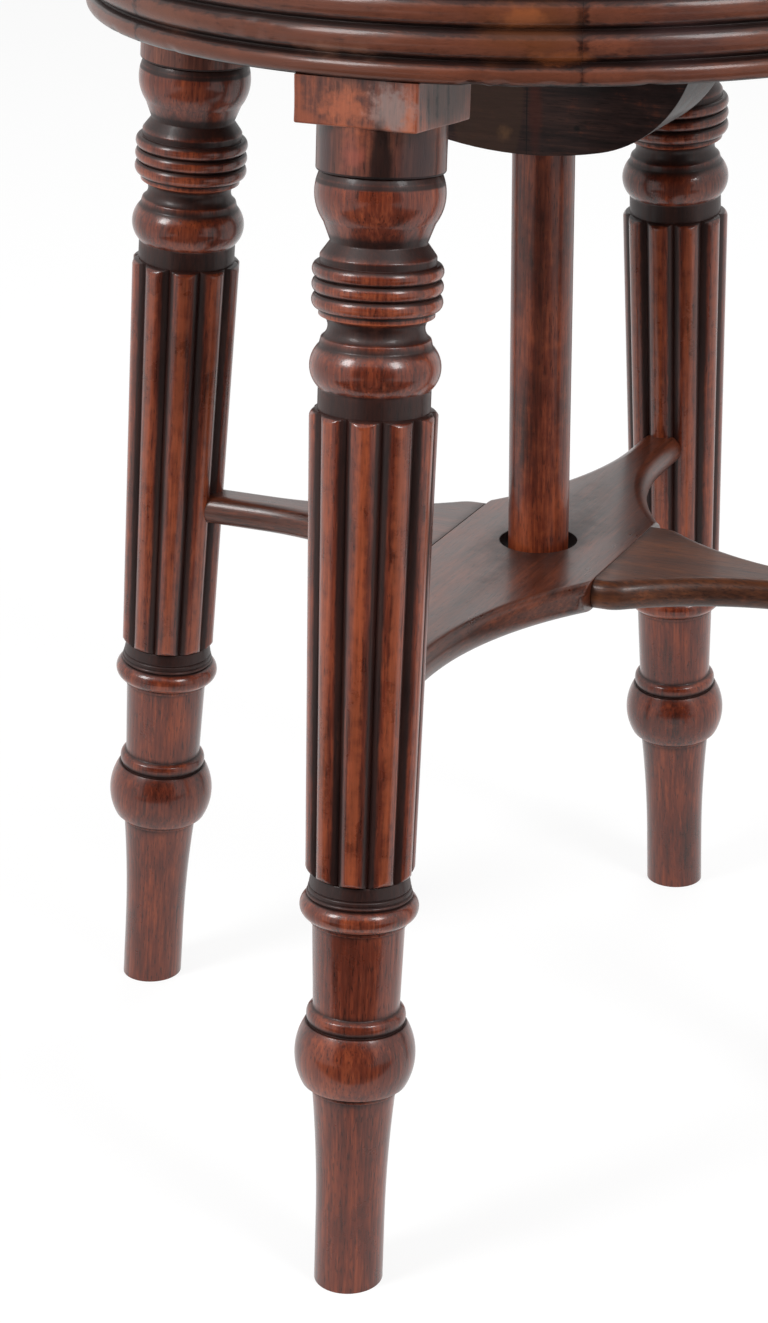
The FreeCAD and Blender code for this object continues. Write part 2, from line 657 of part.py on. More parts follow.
def make_seat_post():
    """The wooden screw: a plain post below, the thread above and a tenon on top."""
    bottom = STRETCHER_BOTTOM - TRAVEL_UP - POST_TAIL_SPARE
    thread_start = BELLY_BOTTOM + TRAVEL_DOWN + SOFT_GAP
    outline = Outline(0, bottom).line(POST_RADIUS - POST_END_CHAMFER, bottom)
    outline.line(POST_RADIUS, bottom + POST_END_CHAMFER)
    outline.line(POST_RADIUS, thread_start)
    outline.line(SCREW_RADIUS, thread_start + SCREW_END_CHAMFER)
    outline.line(SCREW_RADIUS, BEARER_BOTTOM)
    outline.line(POST_TENON_RADIUS, BEARER_BOTTOM)
    outline.line(POST_TENON_RADIUS, BOARD_BOTTOM)
    outline.line(0, BOARD_BOTTOM)
    return outline.turned().cut(bearer_pin(FIT))


def bearer_pin(fit):
    """The pin through the bearer and the screw's tenon, or with a fit its hole."""
    return Part.makeCylinder(BEARER_PIN_RADIUS + fit, BEARER_WIDTH,
                             Vector(0, -BEARER_WIDTH / 2, PIN_HEIGHT), FORWARD)


def make_stop_washer():
    """The loose leather washer under the bearer, which stops the seat's way down."""
    inner = SCREW_RADIUS + SOFT_GAP
    base = Vector(0, 0, WASHER_BOTTOM)
    washer = Part.makeCylinder(inner + WASHER_WIDTH, WASHER_THICKNESS, base)
    return washer.cut(Part.makeCylinder(inner, WASHER_THICKNESS, base))


def bearer_screw(fit):
    """A countersunk wood screw standing on the origin, or with a fit its hole."""
    head = BEARER_SCREW_HEAD_RADIUS + fit
    shank = BEARER_SCREW_RADIUS + fit
    top = BEARER_HEIGHT + BEARER_SCREW_BITE + (BLIND_END_GAP if fit else 0)
    outline = Outline(0, 0).line(head, 0)
    outline.line(shank, BEARER_SCREW_HEAD_HEIGHT).line(shank, top).line(0, top)
    return outline.turned()


def bearer_screws(fit):
    """The four screws that hold the bearer to the seat board, or their holes."""
    screws = []
    for x_side in (-1, 1):
        for y_side in (-1, 1):
            screw = bearer_screw(fit)
            screw.translate(Vector(x_side * BEARER_SCREW_SPACING_X / 2,
                                   y_side * BEARER_SCREW_SPACING_Y / 2, BEARER_BOTTOM))
            screws.append(screw)
    return screws


def make_seat_bearer():
    """The stout bar under the seat board that the screw's tenon is pinned in."""
    bearer = box(centred(BEARER_LENGTH), centred(BEARER_WIDTH), (BEARER_BOTTOM, BOARD_BOTTOM))
    low_ends = [edge for edge in bearer.Edges
                if abs(edge.BoundBox.ZMax - BEARER_BOTTOM) < FIT and edge.BoundBox.XLength < FIT]
    bearer = bearer.makeChamfer(BEARER_CHAMFER, low_ends)
    tenon_hole = Part.makeCylinder(POST_TENON_RADIUS + FIT, 2 * BEARER_HEIGHT,
                                   Vector(0, 0, BEARER_BOTTOM - BEARER_HEIGHT / 2))
    return bearer.cut([tenon_hole, bearer_pin(FIT)] + bearer_screws(FIT))


def make_seat_board():
    """The round board that the seat is stuffed on."""
    board = Part.makeCylinder(SEAT_BOARD_RADIUS, SEAT_BOARD_THICKNESS, BOARD_BOTTOM * UP)
    return board.cut(bearer_screws(FIT))


def pad_outline(growth, bottom):
    """Half the section of the stuffing, grown all round, down to a height."""
    waist = SEAT_BOARD_RADIUS - SOFT_GAP + growth
    bulge = waist + PAD_SIDE_BULGE
    shoulder = waist - PAD_SHOULDER_INSET
    shoulder_height = PAD_BOTTOM + PAD_SIDE_HEIGHT + growth
    outline = Outline(0, bottom).line(waist, bottom)
    if bottom < PAD_BOTTOM:
        outline.line(waist, PAD_BOTTOM)
    outline.arc(bulge, PAD_BOTTOM + PAD_WIDEST_AT * PAD_SIDE_HEIGHT, shoulder, shoulder_height)
    return outline.dome(PAD_HEIGHT - PAD_SIDE_HEIGHT)


def make_seat_pad():
    """The stuffing, with its crown and its side drawn in at the board."""
    return pad_outline(0, PAD_BOTTOM).turned()


def make_seat_cover():
    """The cover drawn over the stuffing and down the edge of the board."""
    hollow = pad_outline(2 * SOFT_GAP, BOARD_BOTTOM).turned()
    outside = pad_outline(2 * SOFT_GAP + COVER_THICKNESS, BOARD_BOTTOM).turned()
    return outside.cut(hollow)


def cover_edge_radius():
    """Outer radius of the cover on the edge of the seat board."""
    return SEAT_BOARD_RADIUS + SOFT_GAP + COVER_THICKNESS


def make_gimp_band():
    """The narrow braid round the edge of the seat board."""
    middle = BOARD_BOTTOM + SEAT_BOARD_THICKNESS / 2
    base = Vector(0, 0, middle - GIMP_HEIGHT / 2)
    inner = cover_edge_radius() + FIT
    band = Part.makeCylinder(inner + GIMP_THICKNESS, GIMP_HEIGHT, base)
    return band.cut(Part.makeCylinder(inner, GIMP_HEIGHT, base))


def make_seat_nails():
    """The domed nails through the braid and the cover into the board."""
    seat = cover_edge_radius() + FIT + GIMP_THICKNESS
    head = Outline(0, -NAIL_SHANK_LENGTH).line(NAIL_SHANK_RADIUS, -NAIL_SHANK_LENGTH)
    head.line(NAIL_SHANK_RADIUS, 0).line(NAIL_HEAD_RADIUS, 0)
    nail = head.dome(NAIL_HEAD_HEIGHT).turned()
    nail.rotate(ORIGIN, RIGHT, 90)
    nail.translate(Vector(0, -seat - FIT, BOARD_BOTTOM + SEAT_BOARD_THICKNESS / 2))
    step = 360.0 / NAIL_COUNT
    return Part.makeCompound([to_bearing(nail, number * step) for number in range(NAIL_COUNT)])


def make_parts():
    """Every piece of the stool under its own name."""
    parts = {}
    for name in LEG_BEARINGS:
        parts["leg_" + name] = make_leg(name)
        parts["leg_head_" + name] = make_leg_head(name)
    for number, segment in enumerate(make_rim_segments(), start=1):
        parts["rim_segment_%d" % number] = segment
    parts["rim_dowels"] = make_rim_dowels()
    parts["cross_rail_left_right"], parts["cross_rail_front_back"] = make_rails()
    parts["stretcher_board"] = make_stretcher_board()
    parts["stretcher_arm_right"] = make_stretcher_arm(0)
    parts["stretcher_arm_left"] = make_stretcher_arm(180)
    parts["stretcher_dowels"] = make_stretcher_dowels()
    parts["seat_post"] = make_seat_post()
    parts["stop_washer"] = make_stop_washer()
    parts["seat_bearer"] = make_seat_bearer()
    parts["bearer_pin"] = bearer_pin(0)
    parts["bearer_screws"] = Part.makeCompound(bearer_screws(0))
    parts["seat_board"] = make_seat_board()
    parts["seat_pad"] = make_seat_pad()
    parts["seat_cover"] = make_seat_cover()
    parts["gimp_band"] = make_gimp_band()
    parts["seat_nails"] = make_seat_nails()
    return parts


os.makedirs("parts", exist_ok=True)
for node, shape in make_parts().items():
    print(node, len(shape.Solids), "solids, valid", shape.isValid(), round(shape.Volume / 1000, 2), "cm3")
    shape.exportStep("parts/" + node + ".step")
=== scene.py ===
"""The looks of a revolving piano stool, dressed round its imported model."""
from __future__ import annotations

import logging
import math
import random
from dataclasses import dataclass, field
from enum import Enum
from typing import Callable, Sequence, Union

import bmesh
import bpy
import numpy as np
from mathutils import Matrix, Vector, noise


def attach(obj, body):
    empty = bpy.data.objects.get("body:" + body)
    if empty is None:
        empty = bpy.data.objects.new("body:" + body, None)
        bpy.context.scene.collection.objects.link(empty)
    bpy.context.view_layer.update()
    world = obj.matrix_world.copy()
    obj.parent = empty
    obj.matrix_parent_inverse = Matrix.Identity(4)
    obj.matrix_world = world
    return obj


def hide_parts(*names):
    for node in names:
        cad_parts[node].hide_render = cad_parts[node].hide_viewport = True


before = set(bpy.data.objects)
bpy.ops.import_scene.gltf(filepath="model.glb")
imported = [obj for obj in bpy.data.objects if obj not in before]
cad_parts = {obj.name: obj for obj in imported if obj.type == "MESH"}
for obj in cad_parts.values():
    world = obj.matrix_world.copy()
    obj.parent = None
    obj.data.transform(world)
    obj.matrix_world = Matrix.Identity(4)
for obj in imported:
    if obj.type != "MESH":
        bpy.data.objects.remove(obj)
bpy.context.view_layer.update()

log = logging.getLogger("piano_stool")

MM = 0.001
FIT = 0.05
NOISE_SEED = 7
WHITE = (1.0, 1.0, 1.0, 1.0)
Point = tuple[float, float]
Colour = tuple[float, float, float, float]
Relief = Callable[[Vector], float]


def picked(red: int, green: int, blue: int) -> Colour:
    """Give a colour as the shaders want it.

    Args:
        red: level on a screen, 0 to 255.
        green: level on a screen, 0 to 255.
        blue: level on a screen, 0 to 255.

    Returns:
        The scene-linear colour with an alpha of one.
    """

    def linear(level: int) -> float:
        """Take the screen's curve off one level."""
        share = level / 255
        return share / 12.92 if share <= 0.04045 else ((share + 0.055) / 1.055) ** 2.4

    return linear(red), linear(green), linear(blue), 1.0


# Shader workshop


class Value:
    """A number that varies over a surface. Sums on it add Math nodes."""

    def __init__(self, shader: Shader, socket: bpy.types.NodeSocket) -> None:
        """Hold one output socket of a shader."""
        self.shader = shader
        self.socket = socket

    def __add__(self, other: Number) -> Value:
        """Add a number."""
        return self.shader.sum_of("ADD", self, other)

    __radd__ = __add__

    def __mul__(self, other: Number) -> Value:
        """Multiply by a number."""
        return self.shader.sum_of("MULTIPLY", self, other)

    __rmul__ = __mul__

    def __sub__(self, other: Number) -> Value:
        """Take a number away."""
        return self.shader.sum_of("SUBTRACT", self, other)

    def __rsub__(self, other: Number) -> Value:
        """Be taken away from a number."""
        return self.shader.sum_of("SUBTRACT", other, self)

    def limited(self) -> Value:
        """Keep the number between zero and one."""
        return self.shader.remap(self, 0, 1, smooth=False)


Number = Union[int, float, Value]


class Shader:
    """The nodes of one material or world, added one at a time."""

    def __init__(self, name: str, owner: bpy.types.ID | None = None) -> None:
        """Clear the nodes of an owner, or of a new material with this name.

        Args:
            name: name of the new material.
            owner: what gets the nodes, if that isn't a new material.
        """
        self.material = owner or bpy.data.materials.new(name)
        self.material.use_nodes = True
        self.tree = self.material.node_tree
        self.tree.nodes.clear()
        self.here = self.node("ShaderNodeTexCoord").outputs["Object"]

    def node(self, kind: str, settings: dict | None = None,
             inputs: dict | None = None) -> bpy.types.Node:
        """Add one node.

        Args:
            kind: the node's type.
            settings: its own settings, set first. "stops" fills a colour ramp.
            inputs: a value, colour or link for each socket that isn't left alone.

        Returns:
            The node.
        """
        made = self.tree.nodes.new(kind)
        for name, setting in (settings or {}).items():
            if name == "stops":
                self._fill_ramp(made.color_ramp, setting)
            else:
                setattr(made, name, setting)
        for name, value in (inputs or {}).items():
            if isinstance(value, Value):
                value = value.socket
            if isinstance(value, bpy.types.NodeSocket):
                self.tree.links.new(value, made.inputs[name])
            else:
                made.inputs[name].default_value = value
        return made

    @staticmethod
    def _fill_ramp(ramp: bpy.types.ColorRamp, stops: Sequence[tuple[float, Colour]]) -> None:
        """Set a ramp's stops, from the left.

        Args:
            ramp: the ramp.
            stops: place and colour of each stop.
        """
        while len(ramp.elements) < len(stops):
            ramp.elements.new(0.5)
        for element, (position, colour) in zip(ramp.elements, stops):
            element.position = position
            element.color = colour

    def sum_of(self, operation: str, first: Number, second: Number) -> Value:
        """Add a Math node."""
        return Value(self, self.node("ShaderNodeMath", {"operation": operation},
                                     {0: first, 1: second}).outputs[0])

    def attribute(self, name: str) -> Value:
        """Read a number stored on the piece's points."""
        return Value(self, self.node("ShaderNodeAttribute", {"attribute_name": name}).outputs["Fac"])

    def vector_attribute(self, name: str) -> bpy.types.NodeSocket:
        """Read a place stored on the piece's points."""
        return self.node("ShaderNodeAttribute", {"attribute_name": name}).outputs["Vector"]

    def across(self, place: bpy.types.NodeSocket, operation: str,
               other: Sequence[float]) -> bpy.types.NodeSocket:
        """Add a Vector Math node with a constant second vector."""
        return self.node("ShaderNodeVectorMath", {"operation": operation},
                         {0: place, 1: tuple(other)}).outputs[0]

    def grain(self, place: bpy.types.NodeSocket, scale: float, detail: float = 3.0,
              rough: float = 0.55, bend: float = 0.0) -> Value:
        """Add a noise texture.

        Args:
            place: the coordinates it reads.
            scale: how fine it is.
            detail: how many finer layers it has.
            rough: how strong they are.
            bend: how far it is distorted.

        Returns:
            The noise, mostly from 0.3 to 0.7.
        """
        return Value(self, self.node("ShaderNodeTexNoise", None, {
            "Vector": place, "Scale": scale, "Detail": detail, "Roughness": rough,
            "Distortion": bend}).outputs["Fac"])

    def cells(self, place: bpy.types.NodeSocket, scale: float, feature: str = "F1") -> Value:
        """Add a Voronoi texture and read its distance."""
        return Value(self, self.node("ShaderNodeTexVoronoi", {"feature": feature}, {
            "Vector": place, "Scale": scale}).outputs["Distance"])

    def remap(self, value: Value, low: float, high: float, smooth: bool = True) -> Value:
        """Stretch a range of a number over zero to one.

        Args:
            value: the number.
            low: where it gives zero.
            high: where it gives one. It may be below low.
            smooth: whether it eases in and out.

        Returns:
            The new number, from zero to one.
        """
        kind = "SMOOTHSTEP" if smooth else "LINEAR"
        if low > high:
            return 1 - self.remap(value, high, low, smooth)
        made = self.node("ShaderNodeMapRange", {"interpolation_type": kind}, {
            "Value": value, "From Min": low, "From Max": high})
        return Value(self, made.outputs["Result"])

    def ramp(self, value: Value, stops: Sequence[tuple[float, Colour]]) -> bpy.types.NodeSocket:
        """Colour a number by a ramp."""
        return self.node("ShaderNodeValToRGB", {"stops": stops}, {"Fac": value}).outputs["Color"]

    def mix(self, first: bpy.types.NodeSocket | Colour, second: bpy.types.NodeSocket | Colour,
            share: Value) -> bpy.types.NodeSocket:
        """Mix two colours."""
        return self.node("ShaderNodeMix", {"data_type": "RGBA"},
                         {0: share, 6: first, 7: second}).outputs[2]

    def stretched(self, wood: bpy.types.NodeSocket, run: float, *noise_settings: float) -> Value:
        """Add a noise that is drawn out along the grain, which it follows at a share of its scale."""
        return self.grain(self.across(wood, "MULTIPLY", (1.0, 1.0, run)), *noise_settings)

    def seen(self) -> Value:
        """Give one to the rays of a picture, a mirror or a glass, and zero to those that light.

        Returns:
            The share, zero or one.
        """
        path = self.node("ShaderNodeLightPath")
        camera, glossy, through = (Value(self, path.outputs[f"Is {kind} Ray"])
                                   for kind in ("Camera", "Glossy", "Transmission"))
        return (camera + glossy + through).limited()

    def spot(self, centre: Sequence[float], reach: Sequence[float], edge: float,
             ragged: float, fine: float) -> Value:
        """Mask one round or long spot on the object.

        Args:
            centre: its middle, in millimetres.
            reach: how far it goes along each axis, in millimetres.
            edge: share of the reach over which it fades out.
            ragged: how much noise breaks its edge.
            fine: how fine that noise is.

        Returns:
            One inside, zero outside.
        """
        away = self.across(self.here, "SUBTRACT", [c * MM for c in centre])
        away = self.across(away, "DIVIDE", [r * MM for r in reach])
        far = Value(self, self.node("ShaderNodeVectorMath", {"operation": "LENGTH"},
                                    {0: away}).outputs["Value"])
        far = far + (self.grain(self.here, fine, 4.0, 0.6) - 0.5) * (2 * ragged)
        return self.remap(far, 1.0, 1.0 - edge)

    def bumped(self, height: Value, depth: float) -> bpy.types.NodeSocket:
        """Turn a height from zero to one into a normal bumped by a depth in millimetres."""
        return self.node("ShaderNodeBump", None, {
            "Height": height, "Distance": depth * MM, "Strength": 1.0}).outputs["Normal"]

    def surface(self, inputs: dict, kind: str = "ShaderNodeBsdfPrincipled") -> bpy.types.Material:
        """Close the material with a principled surface, or one of another kind.

        Args:
            inputs: a value, colour or link for each of its sockets.
            kind: type of its node.

        Returns:
            The material.
        """
        shader = self.node(kind, None, inputs)
        self.node("ShaderNodeOutputMaterial", None, {"Surface": shader.outputs[0]})
        return self.material


# Finishes


@dataclass(frozen=True)
class Mark:
    """A spot where the wood is stained, worn or dulled, in the object's millimetres."""

    centre: tuple[float, float, float]
    reach: tuple[float, float, float]
    colour: Colour
    share: float = 0.8
    edge: float = 0.6
    ragged: float = 0.5
    fine: float = 120.0
    dull: float = 0.0


@dataclass(frozen=True)
class Wood:
    """Old polished wood: figure and pores along the grain, dirt and painted shade in hollows, wear on
    edges.
    """

    name: str
    dark: Colour = picked(56, 22, 13)
    middle: Colour = picked(98, 40, 23)
    light: Colour = picked(142, 66, 36)
    # Colour of the pores, and of the dirt and painted shade in the hollows.
    dirt_and_shade: Colour = picked(24, 9, 7)
    worn: Colour = picked(166, 82, 46)
    figure: float = 170.0
    run: float = 0.09
    pores: float = 0.55
    blotches: float = 0.5
    # How far the hollows are darkened with dirt and painted shade.
    dirt_and_shade_share: float = 0.88
    wear_share: float = 0.45
    polish: float = 0.30
    coat: float = 0.45
    coat_roughness: float = 0.14
    ior: float = 1.4
    bump: float = 0.05
    marks: tuple[Mark, ...] = ()

    def build(self) -> bpy.types.Material:
        """Make the material.

        Returns:
            The material.
        """
        shader = Shader(self.name)
        wood = shader.vector_attribute("grain")
        relief = shader.attribute("relief")
        streaks = shader.stretched(wood, self.run, self.figure, 4.0, 0.62, 0.25)
        fine = shader.stretched(wood, 0.06, 900.0, 2.0, 0.6)
        flecks = shader.stretched(wood, 0.14, 1700.0, 1.0, 0.5)
        clouds = shader.stretched(wood, 0.5, 48.0, 4.0, 0.6)
        tone = streaks * 0.55 + fine * 0.45 + (clouds - 0.5) * (0.9 * self.blotches)
        colour = shader.ramp(tone, [(0.31, self.dark), (0.5, self.middle), (0.71, self.light)])
        pore = shader.remap(flecks, 0.58, 0.7) * self.pores
        colour = shader.mix(colour, self.dirt_and_shade, pore)
        scuffs = shader.grain(shader.here, 160.0, 4.0, 0.65)
        crest = shader.remap(relief + (scuffs - 0.5) * 1.6 + (fine - 0.5) * 0.8, 0.1, 0.9)
        colour = shader.mix(colour, self.worn, crest * self.wear_share)
        # Painted shade along with real dirt: the lower the relief, the darker the hollow is painted.
        hollow = shader.remap(relief + (scuffs - 0.5) * 0.7, -0.15, -0.95)
        colour = shader.mix(colour, self.dirt_and_shade, hollow * self.dirt_and_shade_share)
        rough = self.polish + (clouds - 0.5) * 0.22 + (scuffs - 0.5) * 0.14 + hollow * 0.2
        coat = self.coat - hollow * (self.coat * 0.7)
        for mark in self.marks:
            spot = shader.spot(mark.centre, mark.reach, mark.edge, mark.ragged, mark.fine)
            colour = shader.mix(colour, mark.colour, spot * mark.share)
            if mark.dull:
                rough = rough + spot * mark.dull
                coat = coat - spot * (mark.dull * self.coat)
        height = 1 - pore * 0.8 + streaks * 0.5 + scuffs * 0.35
        return shader.surface({
            "Base Color": colour, "Roughness": rough.limited(), "IOR": self.ior,
            "Coat Weight": coat.limited(), "Coat Roughness": self.coat_roughness,
            "Coat IOR": 1.5, "Normal": shader.bumped(height, self.bump)})


@dataclass(frozen=True)
class Leather:
    """Hide with a pebbled grain, creases, and a polish that has worn through on top."""

    name: str
    deep: Colour = picked(48, 18, 13)
    body: Colour = picked(88, 34, 24)
    rubbed: Colour = picked(134, 66, 44)
    pebble: float = 620.0
    depth: float = 0.22
    polish: float = 0.42

    def build(self) -> bpy.types.Material:
        """Make the material.

        Returns:
            The material.
        """
        shader = Shader(self.name)
        here = shader.here
        warped = shader.grain(here, 55.0, 3.0, 0.6)
        cells = shader.cells(here, self.pebble)
        creases = shader.cells(here, self.pebble * 0.22, "DISTANCE_TO_EDGE")
        crease = shader.remap(creases, 0.05, 0.0)
        clouds = shader.grain(here, 14.0, 4.0, 0.6)
        colour = shader.ramp(clouds * 0.7 + warped * 0.3,
                             [(0.35, self.deep), (0.52, self.body), (0.7, self.rubbed)])
        colour = shader.mix(colour, self.deep, shader.remap(cells, 0.45, 0.9) * 0.6)
        relief = shader.attribute("relief")
        colour = shader.mix(colour, self.rubbed, shader.remap(relief + clouds, 0.9, 1.6) * 0.4)
        # Painted shade: the pucker hollows and the band over the nails come out darker.
        colour = shader.mix(colour, self.deep, shader.remap(relief + clouds, 0.2, -0.4) * 0.7)
        height = 1 - cells * 0.8 - crease * 0.35 + warped * 0.4
        rough = self.polish + (clouds - 0.5) * 0.3 + cells * 0.1
        return shader.surface({
            "Base Color": colour, "Roughness": rough.limited(), "IOR": 1.48,
            "Coat Weight": 0.15, "Coat Roughness": 0.3,
            "Normal": shader.bumped(height, self.depth)})


@dataclass(frozen=True)
class Metal:
    """Brass or steel, bright where it is rubbed and brown where nothing reaches it."""

    name: str
    bright: Colour
    tarnish: Colour
    roughness: float = 0.32

    def build(self) -> bpy.types.Material:
        """Make the material.

        Returns:
            The material.
        """
        shader = Shader(self.name)
        patches = shader.grain(shader.here, 260.0, 4.0, 0.6)
        scratches = shader.grain(shader.here, 1800.0, 2.0, 0.7)
        aged = shader.remap(patches + scratches * 0.3, 0.55, 0.85)
        colour = shader.mix(self.bright, self.tarnish, aged * 0.8)
        return shader.surface({
            "Base Color": colour, "Metallic": (1 - aged * 0.35).limited(),
            "Roughness": (self.roughness + aged * 0.3 + scratches * 0.1).limited(),
            "Normal": shader.bumped(scratches * 0.5 + patches * 0.5, 0.03)})


@dataclass(frozen=True)
class Braid:
    """Woven trimming, with threads that run slantwise round its cords."""

    name: str
    thread: Colour = picked(92, 36, 26)
    shade: Colour = picked(38, 14, 11)

    def build(self) -> bpy.types.Material:
        """Make the material.

        Returns:
            The material.
        """
        shader = Shader(self.name)
        thread = shader.vector_attribute("grain")
        wave = shader.node("ShaderNodeTexWave", {"wave_type": "BANDS", "bands_direction": "DIAGONAL"}, {
            "Vector": thread, "Scale": 420.0, "Distortion": 0.6, "Detail": 2.0})
        rib = Value(shader, wave.outputs["Fac"])
        fuzz = shader.grain(shader.here, 1400.0, 2.0, 0.7)
        fade = shader.grain(shader.here, 30.0, 3.0, 0.5)
        tone = rib * 0.6 + fuzz * 0.3 + (fade - 0.5) * 0.5
        colour = shader.mix(self.shade, self.thread, tone.limited())
        return shader.surface({
            "Base Color": colour, "Roughness": 0.82,
            "Normal": shader.bumped(rib * 0.8 + fuzz * 0.4, 0.25)})


FINISHES = (
    Wood("polished_turning"),
    Wood("polished_rim", dark=picked(26, 11, 8), middle=picked(54, 25, 17), light=picked(84, 42, 27),
         worn=picked(132, 74, 52), run=0.05, wear_share=0.4, blotches=0.8, polish=0.34, coat=0.22,
         coat_roughness=0.13, ior=1.3, marks=(
             Mark((58, -157, 458), (26, 20, 13), picked(96, 52, 26), 0.55, 0.8, 0.7, 60.0),
             Mark((66, -153, 449), (14, 12, 3), picked(140, 76, 40), 0.6, 0.7, 0.9, 160.0),
             Mark((55, -158, 462), (10, 8, 5), picked(150, 84, 46), 0.5, 0.8, 1.0, 160.0),
             # Painted sheen: a greyish mauve reflection on the right of the rim.
             Mark((100, -134, 455), (30, 26, 16), picked(62, 40, 40), 0.5, 0.8, 0.6, 40.0),
             Mark((-8, -167, 449), (20, 6, 4), picked(138, 92, 72), 0.45, 0.9, 0.9, 120.0),
             Mark((-80, -146, 452), (26, 22, 6), picked(112, 66, 46), 0.35, 0.9, 0.9, 90.0))),
    Wood("dry_block_with_painted_reflections", dark=picked(54, 26, 20), middle=picked(92, 48, 36), light=picked(128, 74, 54),
         polish=0.38, coat=0.3, marks=(
             Mark((-4, -166, 431), (13, 7, 9), picked(184, 98, 62), 0.5, 0.9, 1.1, 260.0),
             # Painted sheen: a grey reflection over the right half of the block's front.
             Mark((13, -166, 431), (10, 7, 11), picked(142, 128, 124), 0.5, 0.7, 0.9, 260.0, 0.2),
             Mark((19, -166, 426), (3, 5, 9), picked(172, 92, 56), 0.5, 0.8, 1.0, 300.0),
             # Painted reflection over dry wood: the block's right side is painted light grey.
             Mark((23, -141, 431), (4, 26, 14), picked(98, 88, 84), 0.5, 0.5, 0.5, 180.0, 0.2),
             Mark((23, -163, 431), (3, 1.6, 13), picked(28, 18, 20), 0.85, 0.8, 0.6, 300.0),
             Mark((23, -157, 430), (3, 1.3, 12), picked(28, 18, 20), 0.85, 0.8, 0.7, 340.0),
             Mark((23, -150, 432), (3, 2.0, 13), picked(30, 20, 21), 0.8, 0.8, 0.7, 300.0),
             Mark((23, -141, 431), (3, 1.8, 13), picked(28, 18, 20), 0.8, 0.8, 0.7, 300.0),
             Mark((-1, -167, 416), (6, 5, 8), picked(156, 76, 60), 0.45, 0.9, 0.8, 200.0),
             # Painted reflection: dark bands down the front of the neck; the middle one also paints
             # shadow on the block's lower edge.
             Mark((8.8, -166, 413), (5.0, 9, 19), picked(20, 8, 7), 0.9, 0.5, 0.2, 160.0),
             Mark((17.5, -157, 412), (8.0, 11, 18), picked(42, 22, 24), 0.75, 0.6, 0.3, 120.0),
             Mark((-13, -164, 412), (5.5, 9, 18), picked(48, 26, 28), 0.75, 0.6, 0.3, 120.0))),
    Wood("polished_board", dark=picked(40, 19, 13), middle=picked(78, 38, 24),
         light=picked(112, 56, 34), run=0.06, polish=0.32, coat=0.35, coat_roughness=0.2),
    Wood("polished_arm", dark=picked(40, 20, 12), middle=picked(76, 40, 22), light=picked(106, 58, 30),
         run=0.06, polish=0.44, coat=0.2, marks=(
             Mark((38, -30, 222), (5, 9, 8), picked(150, 84, 38), 0.6, 0.8, 0.5, 120.0),)),
    Wood("rubbed_post", figure=120.0, run=0.3, polish=0.36, coat=0.3, blotches=0.8, marks=(
        # Painted reflection: a dark stripe down the front of the post.
        Mark((3, -11, 320), (3.5, 8, 120), picked(58, 28, 22), 0.6, 0.9, 0.5, 90.0),)),
    Wood("dull_belly", dark=picked(26, 15, 14), middle=picked(44, 27, 25), light=picked(68, 44, 38),
         run=0.06, polish=0.5, coat=0.1, ior=1.25, blotches=0.7, marks=(
             # Painted lighter to the left of the seam at x=1.6, with a sharp edge.
             Mark((-14, -21, 410), (15.4, 5, 40), picked(74, 50, 36), 0.55, 0.12, 0.0),
             Mark((-7, -21, 393), (4.0, 5, 4.0), picked(120, 84, 54), 0.55, 0.9, 1.0, 200.0),
             Mark((5.0, -21, 405), (3.6, 5, 24), picked(84, 34, 22), 0.5, 0.7, 0.4),
             Mark((1.6, -21, 405), (0.3, 5, 40), picked(14, 8, 8), 0.8, 0.5, 0.1),
             Mark((21.2, -21, 397.4), (1.6, 3, 1.4), picked(12, 8, 8), 0.8, 0.7, 0.4))),
    Wood("dull_rail", dark=picked(52, 32, 24), middle=picked(86, 56, 40), light=picked(120, 84, 60),
         polish=0.6, coat=0.0, ior=1.3),
    Wood("bare_board", dark=picked(120, 84, 54), middle=picked(160, 118, 78),
         light=picked(190, 150, 104), dirt_and_shade=picked(80, 54, 34), polish=0.7, coat=0.0),
    Leather("seat_hide"),
    Leather("washer_hide", deep=picked(60, 34, 20), body=picked(104, 64, 38),
            rubbed=picked(140, 96, 62), polish=0.7),
    Metal("old_brass", picked(196, 150, 76), picked(74, 50, 26)),
    Metal("old_steel", picked(160, 158, 154), picked(70, 58, 48), 0.45),
    Braid("red_braid"))


# Bench work


